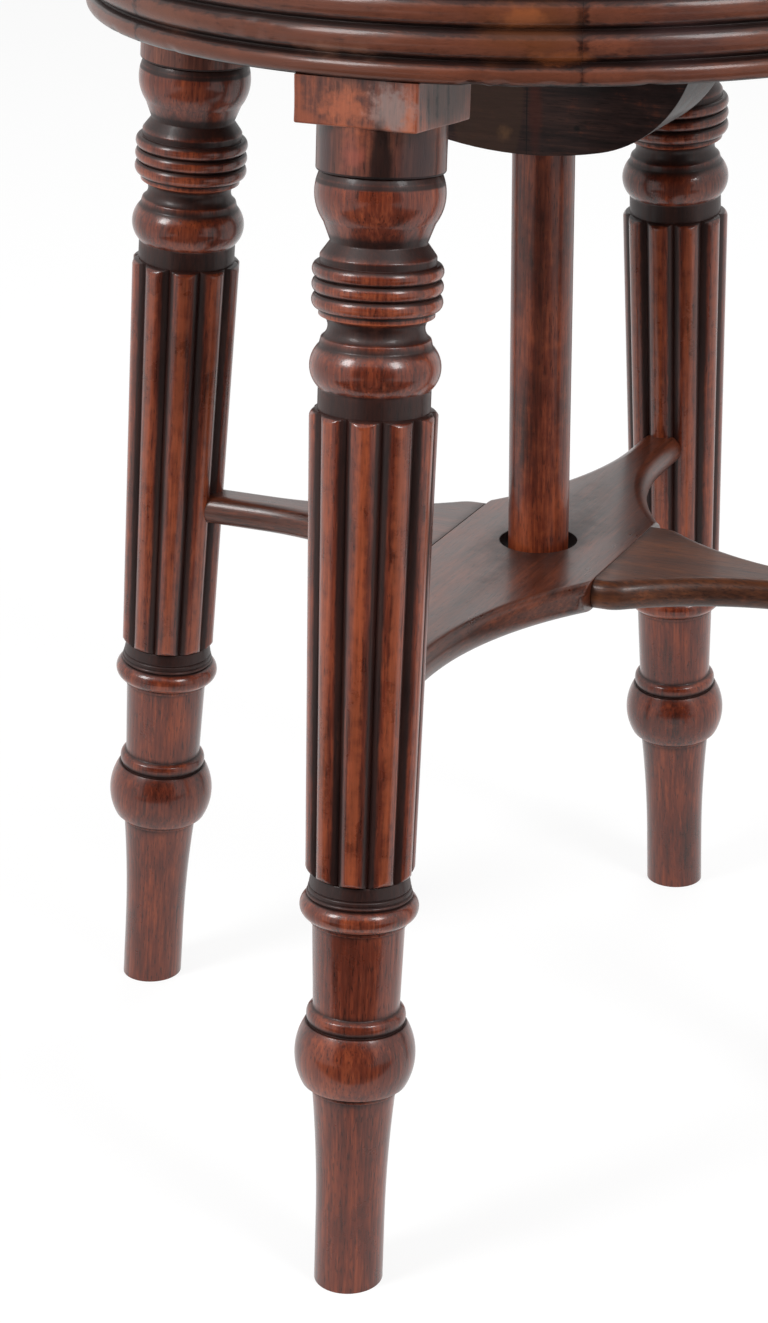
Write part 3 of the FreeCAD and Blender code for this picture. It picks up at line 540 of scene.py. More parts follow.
@dataclass
class Outline:
    """A flat outline of straight and round stretches, in millimetres."""

    points: list[Point] = field(default_factory=list)
    flat_step: float = 12.0
    least_bend: float = 25.0

    def line(self, across: float, height: float) -> Outline:
        """Draw a straight stretch, with a few points on a long one.

        Args:
            across: the end's distance from the axis.
            height: the end's height.

        Returns:
            The same outline.
        """
        if self.points:
            start = Vector(self.points[-1])
            end = Vector((across, height))
            cuts = max(1, round((end - start).length / self.flat_step))
            for cut in range(1, cuts):
                self.points.append(tuple(start.lerp(end, cut / cuts)))
        self.points.append((across, height))
        return self

    def arc(self, via: Point, end: Point, steps: int = 10) -> Outline:
        """Draw a round stretch from the last point.

        Args:
            via: a point that it goes through.
            end: the point that it ends at.
            steps: how many short chords draw it.

        Returns:
            The same outline.
        """
        a, b, c = (complex(*p) for p in (self.points[-1], via, end))
        centre = self._centre(a, b, c)
        first, middle, last = (math.atan2((p - centre).imag, (p - centre).real) for p in (a, b, c))
        middle = (middle - first) % math.tau
        sweep = (last - first) % math.tau
        if middle > sweep:
            sweep -= math.tau
        radius = abs(a - centre)
        for step in range(1, steps + 1):
            angle = first + sweep * step / steps
            self.points.append((centre.real + radius * math.cos(angle),
                                centre.imag + radius * math.sin(angle)))
        self.points[-1] = tuple(end)
        return self

    @staticmethod
    def _centre(a: complex, b: complex, c: complex) -> complex:
        """Find the centre of the circle through three points.

        Args:
            a: first point, as a complex number.
            b: second point.
            c: third point.

        Returns:
            The centre.
        """
        d = 2 * (a.real * (b.imag - c.imag) + b.real * (c.imag - a.imag)
                 + c.real * (a.imag - b.imag))
        x = (abs(a) ** 2 * (b.imag - c.imag) + abs(b) ** 2 * (c.imag - a.imag)
             + abs(c) ** 2 * (a.imag - b.imag)) / d
        y = (abs(a) ** 2 * (c.real - b.real) + abs(b) ** 2 * (a.real - c.real)
             + abs(c) ** 2 * (b.real - a.real)) / d
        return complex(x, y)

    def follow(self, base: float, moves: Sequence[Sequence[float]]) -> Outline:
        """Draw several stretches, with their heights counted from a base.

        Args:
            base: the height that the moves count from.
            moves: for each stretch its end's distance and height, and for a round one also a
                point on its way and a number of steps.

        Returns:
            The same outline.
        """
        for across, height, *bend in moves:
            if bend:
                self.arc((bend[0], base + bend[1]), (across, base + height), bend[2])
            else:
                self.line(across, base + height)
        return self

    def softened(self, radius: float, closed: bool = False) -> Outline:
        """Round the corners a little, as sanding and handling do.

        Args:
            radius: how far the rounding reaches from a corner.
            closed: whether the last point joins the first.

        Returns:
            A new outline.
        """
        soft: list[Point] = []
        count = len(self.points)
        for number, point in enumerate(self.points):
            ends = number in (0, count - 1) and not closed
            here = Vector(point)
            before = Vector(self.points[number - 1])
            after = Vector(self.points[(number + 1) % count])
            into, out = here - before, after - here
            short = min(into.length, out.length)
            if ends or short < 1e-4 or math.degrees(abs(into.angle_signed(out))) < self.least_bend:
                soft.append(point)
                continue
            reach = min(radius, 0.45 * short)
            start = here - into.normalized() * reach
            end = here + out.normalized() * reach
            for share in (0.0, 0.33, 0.67, 1.0):
                near = start.lerp(here, share).lerp(here.lerp(end, share), share)
                soft.append(tuple(near))
        return Outline(soft)

    def mean_radius(self, reach: float) -> Callable[[float], float]:
        """Give the radius averaged over a stretch up and down.

        Args:
            reach: how far up and down it averages.

        Returns:
            A function of the height.
        """
        heights = np.array([p[1] for p in self.points])
        radii = np.array([p[0] for p in self.points])
        order = np.argsort(heights, kind="stable")
        step = 0.25
        grid = np.arange(heights.min(), heights.max() + step, step)
        near = np.interp(grid, heights[order], radii[order])
        width = max(1, int(2 * reach / step))
        padded = np.pad(near, width, mode="edge")
        mean = np.convolve(padded, np.ones(width) / width, mode="same")[width:-width]
        return lambda height: float(np.interp(height, grid, mean))


class Grain(Enum):
    """The way a piece's grain runs before it is put in place."""

    UPRIGHT = "z"
    ACROSS = "x"
    DEEP = "y"


class Workpiece:
    """One mesh on the bench. It is worked in millimetres and leaves as a piece in metres."""

    def __init__(self) -> None:
        """Start with an empty mesh."""
        self.bm = bmesh.new()

    def spun(self, points: Sequence[Point], steps: int, angle: float, closed: bool,
             merged: bool = False, climb: float = 0.0) -> list[bmesh.types.BMVert]:
        """Spin a section about the Z axis.

        Args:
            points: the section, as distances from the axis and heights.
            steps: how many steps it takes.
            angle: how far round it goes, in degrees.
            closed: whether the section's last point joins its first.
            merged: whether the end joins the start.
            climb: how far it rises with each step.

        Returns:
            The new points.
        """
        before = set(self.bm.verts)
        verts = [self.bm.verts.new((across, 0, height)) for across, height in points]
        pairs = zip(verts, verts[1:] + verts[:1] if closed else verts[1:])
        edges = [self.bm.edges.new(pair) for pair in pairs]
        bmesh.ops.spin(self.bm, geom=verts + edges, cent=(0, 0, 0), axis=(0, 0, 1),
                       dvec=(0, 0, climb), angle=math.radians(angle), steps=steps,
                       use_merge=merged, use_normal_flip=False, use_duplicate=False)
        return [vert for vert in self.bm.verts if vert not in before]

    def turn(self, points: Sequence[Point], steps: int) -> Workpiece:
        """Turn an open section all the way round the Z axis, in a number of steps."""
        self.spun(points, steps, 360.0, closed=False, merged=True)
        return self.closed()

    def plank(self, points: Sequence[Point], low: float, high: float) -> Workpiece:
        """Cut a plank to an outline in plan.

        Args:
            points: the outline.
            low: height of its underside.
            high: height of its top.

        Returns:
            The same workpiece.
        """
        verts = [self.bm.verts.new((x, y, low)) for x, y in points]
        face = self.bm.faces.new(verts)
        return self.raised([face], high - low)

    def raised(self, faces: Sequence[bmesh.types.BMFace], height: float) -> Workpiece:
        """Pull flat faces up into a plank of some height.

        Args:
            faces: the flat faces.
            height: how far they are pulled up.

        Returns:
            The same workpiece.
        """
        made = bmesh.ops.extrude_face_region(self.bm, geom=faces)["geom"]
        bmesh.ops.translate(self.bm, vec=(0, 0, height),
                            verts=[v for v in made if isinstance(v, bmesh.types.BMVert)])
        return self.closed()

    def block(self, low: Sequence[float], high: Sequence[float]) -> list[bmesh.types.BMVert]:
        """Add a block between two corners.

        Args:
            low: the corner with the least coordinates.
            high: the corner opposite.

        Returns:
            The block's points.
        """
        made = bmesh.ops.create_cube(self.bm, size=1.0)["verts"]
        size = Vector(high) - Vector(low)
        bmesh.ops.scale(self.bm, vec=size, verts=made)
        bmesh.ops.translate(self.bm, vec=(Vector(high) + Vector(low)) / 2, verts=made)
        return made

    def closed(self) -> Workpiece:
        """Merge doubles, close open ends and turn every face outwards.

        Returns:
            The same workpiece.
        """
        bmesh.ops.remove_doubles(self.bm, verts=self.bm.verts[:], dist=1e-4)
        edges = [edge for edge in self.bm.edges if edge.is_boundary]
        if edges:
            bmesh.ops.holes_fill(self.bm, edges=edges, sides=0)
        bmesh.ops.recalc_face_normals(self.bm, faces=self.bm.faces[:])
        return self

    def eased(self, width: float, segments: int = 2, sharpest: float = 30.0,
              keep: Callable[[bmesh.types.BMEdge], bool] | None = None) -> Workpiece:
        """Round the sharp edges.

        Args:
            width: how far the rounding reaches.
            segments: how many steps it has.
            sharpest: only edges that bend more than this many degrees are rounded.
            keep: says which edges stay sharp.

        Returns:
            The same workpiece.
        """
        edges = [edge for edge in self.bm.edges
                 if len(edge.link_faces) == 2
                 and math.degrees(edge.calc_face_angle(0.0)) > sharpest
                 and not (keep and keep(edge))]
        return self.bevelled(edges, width, segments)

    def bevelled(self, edges: Sequence[bmesh.types.BMEdge], width: float,
                 segments: int) -> Workpiece:
        """Bevel some edges in a number of steps.

        Args:
            edges: the edges.
            width: how far the bevel reaches.
            segments: how many steps it has.

        Returns:
            The same workpiece.
        """
        bmesh.ops.bevel(self.bm, geom=edges, offset=width, offset_type="OFFSET",
                        affect="EDGES", segments=segments, profile=0.5, material=-1,
                        clamp_overlap=True)
        return self

    def sliced(self, height: float, keep: int = 1) -> Workpiece:
        """Cut the mesh level, keep one part of it and close the cut.

        Args:
            height: where the cut is.
            keep: 1 for the part over the cut, -1 for the part under it.

        Returns:
            The same workpiece.
        """
        whole = self.bm.verts[:] + self.bm.edges[:] + self.bm.faces[:]
        bmesh.ops.bisect_plane(self.bm, geom=whole, plane_co=(0, 0, height),
                               plane_no=(0, 0, -keep), clear_outer=True)
        return self.closed()

    def moved(self, matrix: Matrix) -> Workpiece:
        """Move the whole mesh."""
        bmesh.ops.transform(self.bm, matrix=matrix, verts=self.bm.verts[:])
        return self

    def copies(self, one: bpy.types.Mesh, moves: Sequence[Matrix]) -> Workpiece:
        """Add a copy of a mesh for each of some moves, and drop the mesh.

        Args:
            one: the mesh.
            moves: where each copy goes.

        Returns:
            The same workpiece.
        """
        for move in moves:
            before = len(self.bm.verts)
            self.bm.from_mesh(one)
            self.bm.verts.ensure_lookup_table()
            bmesh.ops.transform(self.bm, matrix=move, verts=self.bm.verts[before:])
        bpy.data.meshes.remove(one)
        return self

    def mesh(self, name: str) -> bpy.types.Mesh:
        """Take the work off the bench as a mesh.

        Args:
            name: the mesh's name.

        Returns:
            The mesh.
        """
        made = bpy.data.meshes.new(name)
        self.bm.to_mesh(made)
        self.bm.free()
        return made

    def marked(self, grain: Grain, seed: int, relief: Relief | None = None) -> Workpiece:
        """Store where each point lies in the wood, before the piece is put in place.

        Args:
            grain: the way the grain runs.
            seed: which part of the tree it is cut from.
            relief: how far a point stands out from its surroundings, in millimetres.

        Returns:
            The same workpiece.
        """
        self.bm.verts.ensure_lookup_table()
        turned = {Grain.UPRIGHT: (0, 1, 2), Grain.ACROSS: (1, 2, 0), Grain.DEEP: (2, 0, 1)}[grain]
        shift = Vector((0.37 * seed, 0.23 * seed, 0.61 * seed))
        layers = self.bm.verts.layers
        places = layers.float_vector.get("grain") or layers.float_vector.new("grain")
        stands = layers.float.get("relief") or layers.float.new("relief")
        for vert in self.bm.verts:
            vert[places] = Vector([vert.co[axis] * MM for axis in turned]) + shift
            vert[stands] = relief(vert.co) if relief else 0.0
        return self

    def finish(self, name: str, body: str, slot: str, material: bpy.types.Material,
               nodes: Sequence[str] = (), crease: float = 32.0) -> bpy.types.Object:
        """Take the piece off the bench and fit it to the stool.

        Args:
            name: the piece's name.
            body: the body that it moves with.
            slot: a material slot's name; not used.
            material: its finish.
            nodes: the solids that it stands for.
            crease: edges that bend more than this many degrees look sharp.

        Returns:
            The piece.
        """
        self.moved(Matrix.Scale(MM, 4))
        return fit_piece(placed(name, self.mesh(name)), body, material, nodes, crease)


def placed(name: str, mesh: bpy.types.Mesh) -> bpy.types.Object:
    """Put a mesh in the scene.

    Args:
        name: the new object's name.
        mesh: its mesh.

    Returns:
        The new object.
    """
    piece = bpy.data.objects.new(name, mesh)
    bpy.context.scene.collection.objects.link(piece)
    return piece


def fit_piece(piece: bpy.types.Object, body: str, material: bpy.types.Material,
              nodes: Sequence[str], crease: float) -> bpy.types.Object:
    """Shade a piece, give it its finish and put it on its body.

    Args:
        piece: the new object.
        body: the body that it moves with.
        material: its finish.
        nodes: the solids that it stands for.
        crease: edges that bend more than this many degrees look sharp.

    Returns:
        The piece.
    """
    mesh = piece.data
    mesh.polygons.foreach_set("use_smooth", [True] * len(mesh.polygons))
    mesh.set_sharp_from_angle(angle=math.radians(crease))
    mesh.materials.clear()
    mesh.materials.append(material)
    piece.modifiers.new("flats", "WEIGHTED_NORMAL").keep_sharp = True
    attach(piece, body)
    if nodes:
        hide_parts(*nodes)
    log.info("%s rides on %s with %d faces", piece.name, body, len(mesh.polygons))
    return piece


def bearing(degrees: float) -> Matrix:
    """Give the turn from the front to a bearing round the screw."""
    return Matrix.Rotation(math.radians(degrees), 4, "Z")


# The stool's own sizes


@dataclass(frozen=True)
class Levels:
    """Heights and distances that more than one piece keeps to, in millimetres."""

    splay: float = 5.02
    foot_circle: float = 181.4
    leg_length: float = 408.0
    rim_bottom: float = 440.033
    rim_radius: float = 167.5
    rim_inner: float = 122.0
    stretcher_top: float = 229.0
    stretcher_bottom: float = 217.0
    bearer_bottom: float = 519.533
    board_bottom: float = 538.533
    pad_bottom: float = 552.533

    def lean(self) -> Matrix:
        """Give the move that stands a leg made along Z on the front leg's line."""
        tip = Matrix.Rotation(-math.radians(self.splay), 4, "X")
        return Matrix.Translation((0, -self.foot_circle, 0)) @ tip


LEVELS = Levels()
BEARINGS = {"front": 0.0, "right": 90.0, "back": 180.0, "left": 270.0}


@dataclass
class Leg:
    """A turned leg with ten reeds round its middle."""

    name: str
    reed_turn: float
    steps: int = 160
    reed_count: int = 10
    reed_depth: float = 3.0
    reed_start: float = 160.5
    reed_length: float = 167.4
    reed_bottom: float = 19.6
    reed_top: float = 22.1
    end_rounding: float = 4.0
    ground: tuple[tuple[float, ...], ...] = (
        (0, -3), (12.7, -3), (12.7, 24), (15.3, 77, 13.35, 50.5, 12), (16.5, 77), (16.5, 79),
        (16, 79.3), (16.4, 79.5), (19, 79.5), (18.4, 103, 21.8, 88.43, 18), (17.1, 103),
        (17.4, 108, 18, 105.5, 6), (15.7, 109.2), (16.6, 142), (17.7, 142), (17.7, 143.2),
        (17.4, 143.5), (18.4, 143.7), (19.3, 151.7, 21.3, 147.7, 12), (18.2, 152.1), (19, 152.5),
        (19, 153.3), (18.2, 153.7), (18.6, 154.1), (18.4, 155.3), (17.7, 155.6), (18.2, 156),
        (17.4, 160.5))
    crown: tuple[tuple[float, ...], ...] = (
        (19.2, 0), (19.2, 7.5), (19.2, 22, 22.2, 13.59, 14), (18.6, 24.5),
        (18.6, 32, 16.4, 28.25, 10), (19.6, 32), (19.6, 34.5), (20.8, 34.5),
        (20.8, 39.6, 22.1, 37.05, 8), (20.3, 39.6), (20.8, 44.7, 22.1, 42.15, 8), (20.3, 44.7),
        (20.8, 49.8, 22.1, 47.25, 8), (19.6, 49.8), (19.6, 52.3), (16.3, 56.8), (18.82, 63.324),
        (20.3, 80.1, 21.9, 72.877, 16))
    fine_step: float = 3.0
    softness: float = 0.35
    # Bands painted dark as shade in the collars, coves, ring gaps and under the neck joint: height,
    # half-width and depth, in millimetres.
    painted_shade_bands: tuple[tuple[float, float, float], ...] = (
        (79, 2.5, 0.6), (104.5, 5, 0.7), (156.5, 5, 1.3), (331.5, 4.5, 1), (353.5, 6.5, 0.9),
        (362.4, 1.4, 0.8), (367.5, 1.6, 0.9), (372.6, 1.6, 0.9), (377.7, 1.6, 0.9),
        (382.5, 8, 1), (408, 4.2, 2.4))
    crest_wear: float = 0.75

    @property
    def reed_end(self) -> float:
        """Give the height at which the reeds end."""
        return self.reed_start + self.reed_length

    def lower(self) -> Outline:
        """Draw the foot, the ball, the shin, the low ring and its collar."""
        work = Outline(flat_step=self.fine_step).follow(0, self.ground)
        return work.line(self.reed_bottom - self.reed_depth, self.reed_start)

    def reeded(self) -> Outline:
        """Draw the envelope of the reeds, close together where their ends are rounded.

        Returns:
            The outline from the foot to the end of the reeds.
        """
        work = Outline(self.lower().points)
        end = self.reed_end
        bend = self.end_rounding * (1 - math.sqrt(0.5))
        work.arc((self.reed_bottom - bend / 2, self.reed_start + bend),
                 (self.reed_bottom, self.reed_start + self.end_rounding), 8)
        work.line(self.reed_top, end - self.end_rounding)
        return work.arc((self.reed_top - bend / 2, end - bend),
                        (self.reed_top - self.reed_depth, end), 8)

    def whole(self) -> Outline:
        """Draw the leg from the foot to the joint under its head, with its edges softened.

        Returns:
            The whole outline.
        """
        work = self.reeded()
        work.flat_step = self.fine_step
        work.follow(self.reed_end, self.crown).line(0, LEVELS.leg_length)
        return work.softened(self.softness)

    def crest_at(self, height: float) -> float:
        """Give the radius over the reeds' crests at a height."""
        share = (height - self.reed_start) / self.reed_length
        return self.reed_bottom + share * (self.reed_top - self.reed_bottom)

    def reed_shape(self, radius: float, angle: float) -> float:
        """Give the surface's distance from the leg's axis.

        Args:
            radius: radius over the crests.
            angle: angle round the leg.

        Returns:
            The distance at that angle, on one of the reeds' round backs.
        """
        half = math.pi / self.reed_count
        off = angle % (2 * half) - half
        groove = radius - self.reed_depth
        chord = groove * math.sin(half)
        rise = radius - groove * math.cos(half)
        small = (chord ** 2 + rise ** 2) / (2 * rise)
        centre = radius - small
        return centre * math.cos(off) + math.sqrt(max(small ** 2 - (centre * math.sin(off)) ** 2, 0))

    def turning(self) -> bpy.types.Mesh:
        """Turn a leg and cut its reeds, once for all four.

        Returns:
            The mesh, upright.
        """
        kept = bpy.data.meshes.get("leg_turning")
        if kept:
            return kept
        work = Workpiece().turn(self.whole().points, self.steps)
        for vert in work.bm.verts:
            reach = vert.co.to_2d().length
            if self.reed_start + 0.01 < vert.co.z < self.reed_end - 0.01 and reach > 1:
                angle = math.atan2(vert.co.x, -vert.co.y)
                shaped = min(reach, self.reed_shape(self.crest_at(vert.co.z), angle))
                vert.co.xy *= shaped / reach
        return work.mesh("leg_turning")

    def build(self, material: bpy.types.Material) -> bpy.types.Object:
        """Stand the reeded turning in place.

        Args:
            material: its finish.

        Returns:
            The leg.
        """
        work = Workpiece()
        work.bm.from_mesh(self.turning())
        mean = self.whole().mean_radius(2.6)

        def relief(place: Vector) -> float:
            """Say how far a point stands out of its reed or its ring, lowered where shade is painted
            into the listed bands.

            Args:
                place: the point, on the upright leg.

            Returns:
                The relief in millimetres.
            """
            reach = place.to_2d().length
            if self.reed_start < place.z < self.reed_end and reach > 1:
                return (reach - self.crest_at(place.z)) * 1.2 + self.crest_wear
            # Painted shade: the relief drops in the listed bands, so the finish paints them dark.
            painted_shade_bands = sum(depth * max(0.0, 1 - abs(place.z - middle) / half) ** 0.5
                            for middle, half, depth in self.painted_shade_bands)
            return min(reach - mean(place.z), 1.0) - painted_shade_bands if reach > 2 else -0.5

        work.marked(Grain.UPRIGHT, len(self.name) + int(self.reed_turn) % 7, relief)
        work.moved(Matrix.Rotation(math.radians(self.reed_turn), 4, "Z"))
        work.moved(LEVELS.lean()).sliced(0.0).moved(bearing(BEARINGS[self.name]))
        return work.finish("turned_leg_" + self.name, "frame", "mahogany", material,
                           ["leg_" + self.name])


@dataclass
class LegHead:
    """The square block on a leg, with the round neck under it, both in line with the leg."""

    name: str
    side: float = 44.0
    neck: float = 21.65
    neck_height: float = 16.1
    reach: float = 22.0
    unevenness: float = 0.25

    def build(self, material: bpy.types.Material) -> bpy.types.Object:
        """Make the block and its neck, lean them and trim them under the rim.

        Args:
            material: its finish.

        Returns:
            The head.
        """
        half = self.side / 2
        base = LEVELS.leg_length + FIT
        low = LEVELS.leg_length + self.neck_height
        work = Workpiece()
        work.block((-half, -half, low), (half, half, low + self.reach))
        work.eased(0.7, 3)
        bmesh.ops.subdivide_edges(work.bm, edges=work.bm.edges[:], cuts=4, use_grid_fill=True)
        for vert in work.bm.verts:
            vert.co += noise.noise_vector(vert.co * 0.09) * self.unevenness
        outline = Outline().line(0, base).line(self.neck - 0.5, base).line(self.neck, base + 0.6)
        outline.line(self.neck, base + 1.6).line(self.neck, low + 1).line(0, low + 1)
        neck = Workpiece().turn(outline.softened(0.4).points, 96)
        work.copies(neck.mesh("neck"), [Matrix.Identity(4)])

        def relief(place: Vector) -> float:
            """Say how near a point is to a rubbed edge, or to the dark joint.

            Args:
                place: the point, on the upright leg.

            Returns:
                The relief in millimetres.
            """
            if place.z < low - 0.3:
                return -1.5 if place.z < base + 0.9 else 0.0
            near = sorted((half - abs(place.x), half - abs(place.y), place.z - low))
            return max(0.0, 1.1 - 0.5 * (max(near[0], 0) + max(near[1], 0)))

        work.marked(Grain.UPRIGHT, 31 + len(self.name), relief)
        work.moved(LEVELS.lean()).sliced(LEVELS.rim_bottom - FIT, -1)
        work.moved(bearing(BEARINGS[self.name]))
        return work.finish("block_and_neck_" + self.name, "frame", "mahogany", material,
                           ["leg_head_" + self.name])


@dataclass
class Rim:
    """The reeded rim, glued up from six sawn segments."""

    edge_bead: float = 8.0
    reed: float = 10.3
    reeds: int = 3
    depth: float = 2.6
    fillet: float = 1.0
    first_joint: float = 25.5
    joint_gap: float = 0.02
    segments: int = 6
    steps: int = 72
    shown: float = 8.0
    chip_places: tuple[tuple[float, float, float, float], ...] = (
        (14.0, 0.4, 5.0, 1.6), (16.5, 0.2, 3.5, 1.2), (-16.0, 12.5, 5.5, 0.9),
        (-12.5, 13.0, 4.5, 1.1), (-9.5, 12.4, 3.0, 0.8), (33.0, 0.3, 4.0, 1.2),
        (22.0, 0.2, 2.8, 1.0), (-27.0, 0.3, 3.4, 0.9), (52.0, 0.6, 4.0, 1.0))
    more_chips: int = 22
    low_edge: float = 2.0

    def outline(self) -> Outline:
        """Draw the rim's section from its lower inside corner round its reeds.

        Returns:
            The closed outline, with its last point next to its first.
        """
        groove = LEVELS.rim_radius - self.depth
        height = LEVELS.rim_bottom
        work = Outline(flat_step=6.0).line(LEVELS.rim_inner, height).line(groove, height)
        beads = [self.edge_bead] + [self.reed] * self.reeds + [self.edge_bead]
        for number, bead in enumerate(beads):
            last = number == len(beads) - 1
            top = height + bead - (0 if last else self.fillet)
            work.arc((LEVELS.rim_radius, (height + top) / 2), (groove, top), 14)
            if not last:
                work.line(groove - 0.35, top + 0.15)
                work.line(groove - 0.1, top + self.fillet / 2)
                work.line(groove - 0.35, top + self.fillet - 0.15)
                work.line(groove, top + self.fillet)
            height += bead
        return work.line(LEVELS.rim_inner, height).line(LEVELS.rim_inner, LEVELS.rim_bottom + 3)

    def chips(self) -> list[tuple[Vector, float, float]]:
        """List the small dents: where they are, how wide and how deep.

        Returns:
            Place, width and depth of each, in millimetres.
        """
        places = list(self.chip_places)
        rng = random.Random(11)
        places += [(rng.uniform(60, 330), rng.choice((0.3, 46.0, 18.0, 28.0)),
                    rng.uniform(2.5, 5.0), rng.uniform(0.5, 1.2)) for _ in range(self.more_chips)]
        found = []
        for degrees, height, width, depth in places:
            angle = math.radians(degrees)
            found.append((Vector((LEVELS.rim_radius * math.sin(angle),
                                  -LEVELS.rim_radius * math.cos(angle),
                                  LEVELS.rim_bottom + height)), width, depth))
        return found

    def build(self, material: bpy.types.Material) -> None:
        """Make the six segments, each with its own run of grain.

        Args:
            material: the rim's finish.
        """
        outline = self.outline().softened(0.3)
        outer = Outline([p for p in outline.points if p[0] > LEVELS.rim_radius - self.shown])
        mean = outer.mean_radius(4.2)
        angle = 360.0 / self.segments
        chips = self.chips()
        for number in range(self.segments):
            work = Workpiece()
            work.spun(outline.points[:-1], self.steps, angle - self.joint_gap, closed=True)
            work.closed()
            work.moved(bearing(-90 - angle / 2))
            work.marked(Grain.ACROSS, 3 + 5 * number, lambda place: self.relief(place, mean, angle))
            work.moved(bearing(self.first_joint + (number + 0.5) * angle))
            self.dent(work, chips)
            work.finish(f"reeded_segment_{number + 1}", "frame", "mahogany", material,
                        [f"rim_segment_{number + 1}"])

    def dent(self, work: Workpiece, chips: Sequence[tuple[Vector, float, float]]) -> None:
        """Push a segment's surface in wherever one of the chips reaches it.

        Args:
            work: the segment, in its place.
            chips: place, width and depth of each chip.
        """
        for vert in work.bm.verts:
            for centre, width, depth in chips:
                near = (vert.co - centre).length / width
                if near < 1:
                    rough = 0.7 + 0.6 * noise.noise(vert.co * 0.9)
                    pull = depth * rough * (1 - near ** 2)
                    vert.co += Vector((-vert.co.x, -vert.co.y, 0)).normalized() * pull
                    if vert.co.z < LEVELS.rim_bottom + self.low_edge:
                        vert.co.z += pull * 0.5

    def relief(self, place: Vector, mean: Callable[[float], float], angle: float) -> float:
        """Say how far a point stands out of the rim's section, darker at the joints, and low in the
        reeds' grooves and inside the rim, where the finish paints shade along with dirt.

        Args:
            place: the point, with the segment's middle at the front.
            mean: the section's mean radius at a height.
            angle: the segment's angle in degrees.

        Returns:
            The relief in millimetres.
        """
        reach = place.to_2d().length
        if reach < LEVELS.rim_radius - self.shown:
            return -0.35
        off = abs(math.degrees(math.atan2(place.x, -place.y)))
        joint = max(0.0, 1 - (angle / 2 - off) * 3.0)
        return (reach - mean(place.z)) * 1.5 - 1.1 * joint


@dataclass
class Rails:
    """The two rails inside the rim, taken from the model and eased at their edges."""

    def build(self, belly: bpy.types.Material, plain: bpy.types.Material) -> None:
        """Make both rails.

        Args:
            belly: finish of the rail with the belly.
            plain: finish of the other rail.
        """
        for node, name, material, grain, seed in (
                ("cross_rail_left_right", "belly_rail", belly, Grain.ACROSS, 41),
                ("cross_rail_front_back", "plain_rail", plain, Grain.DEEP, 47)):
            work = Workpiece()
            work.bm.from_mesh(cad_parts[node].data)
            work.moved(Matrix.Scale(1 / MM, 4))
            bmesh.ops.remove_doubles(work.bm, verts=work.bm.verts[:], dist=1e-3)
            bmesh.ops.dissolve_limit(work.bm, angle_limit=math.radians(0.6),
                                     verts=work.bm.verts[:], edges=work.bm.edges[:],
                                     use_dissolve_boundaries=False, delimit=set())
            work.eased(0.6, 2, 35.0)
            work.marked(grain, seed)
            work.finish(name, "frame", "rail_wood", material, [node], 25.0)


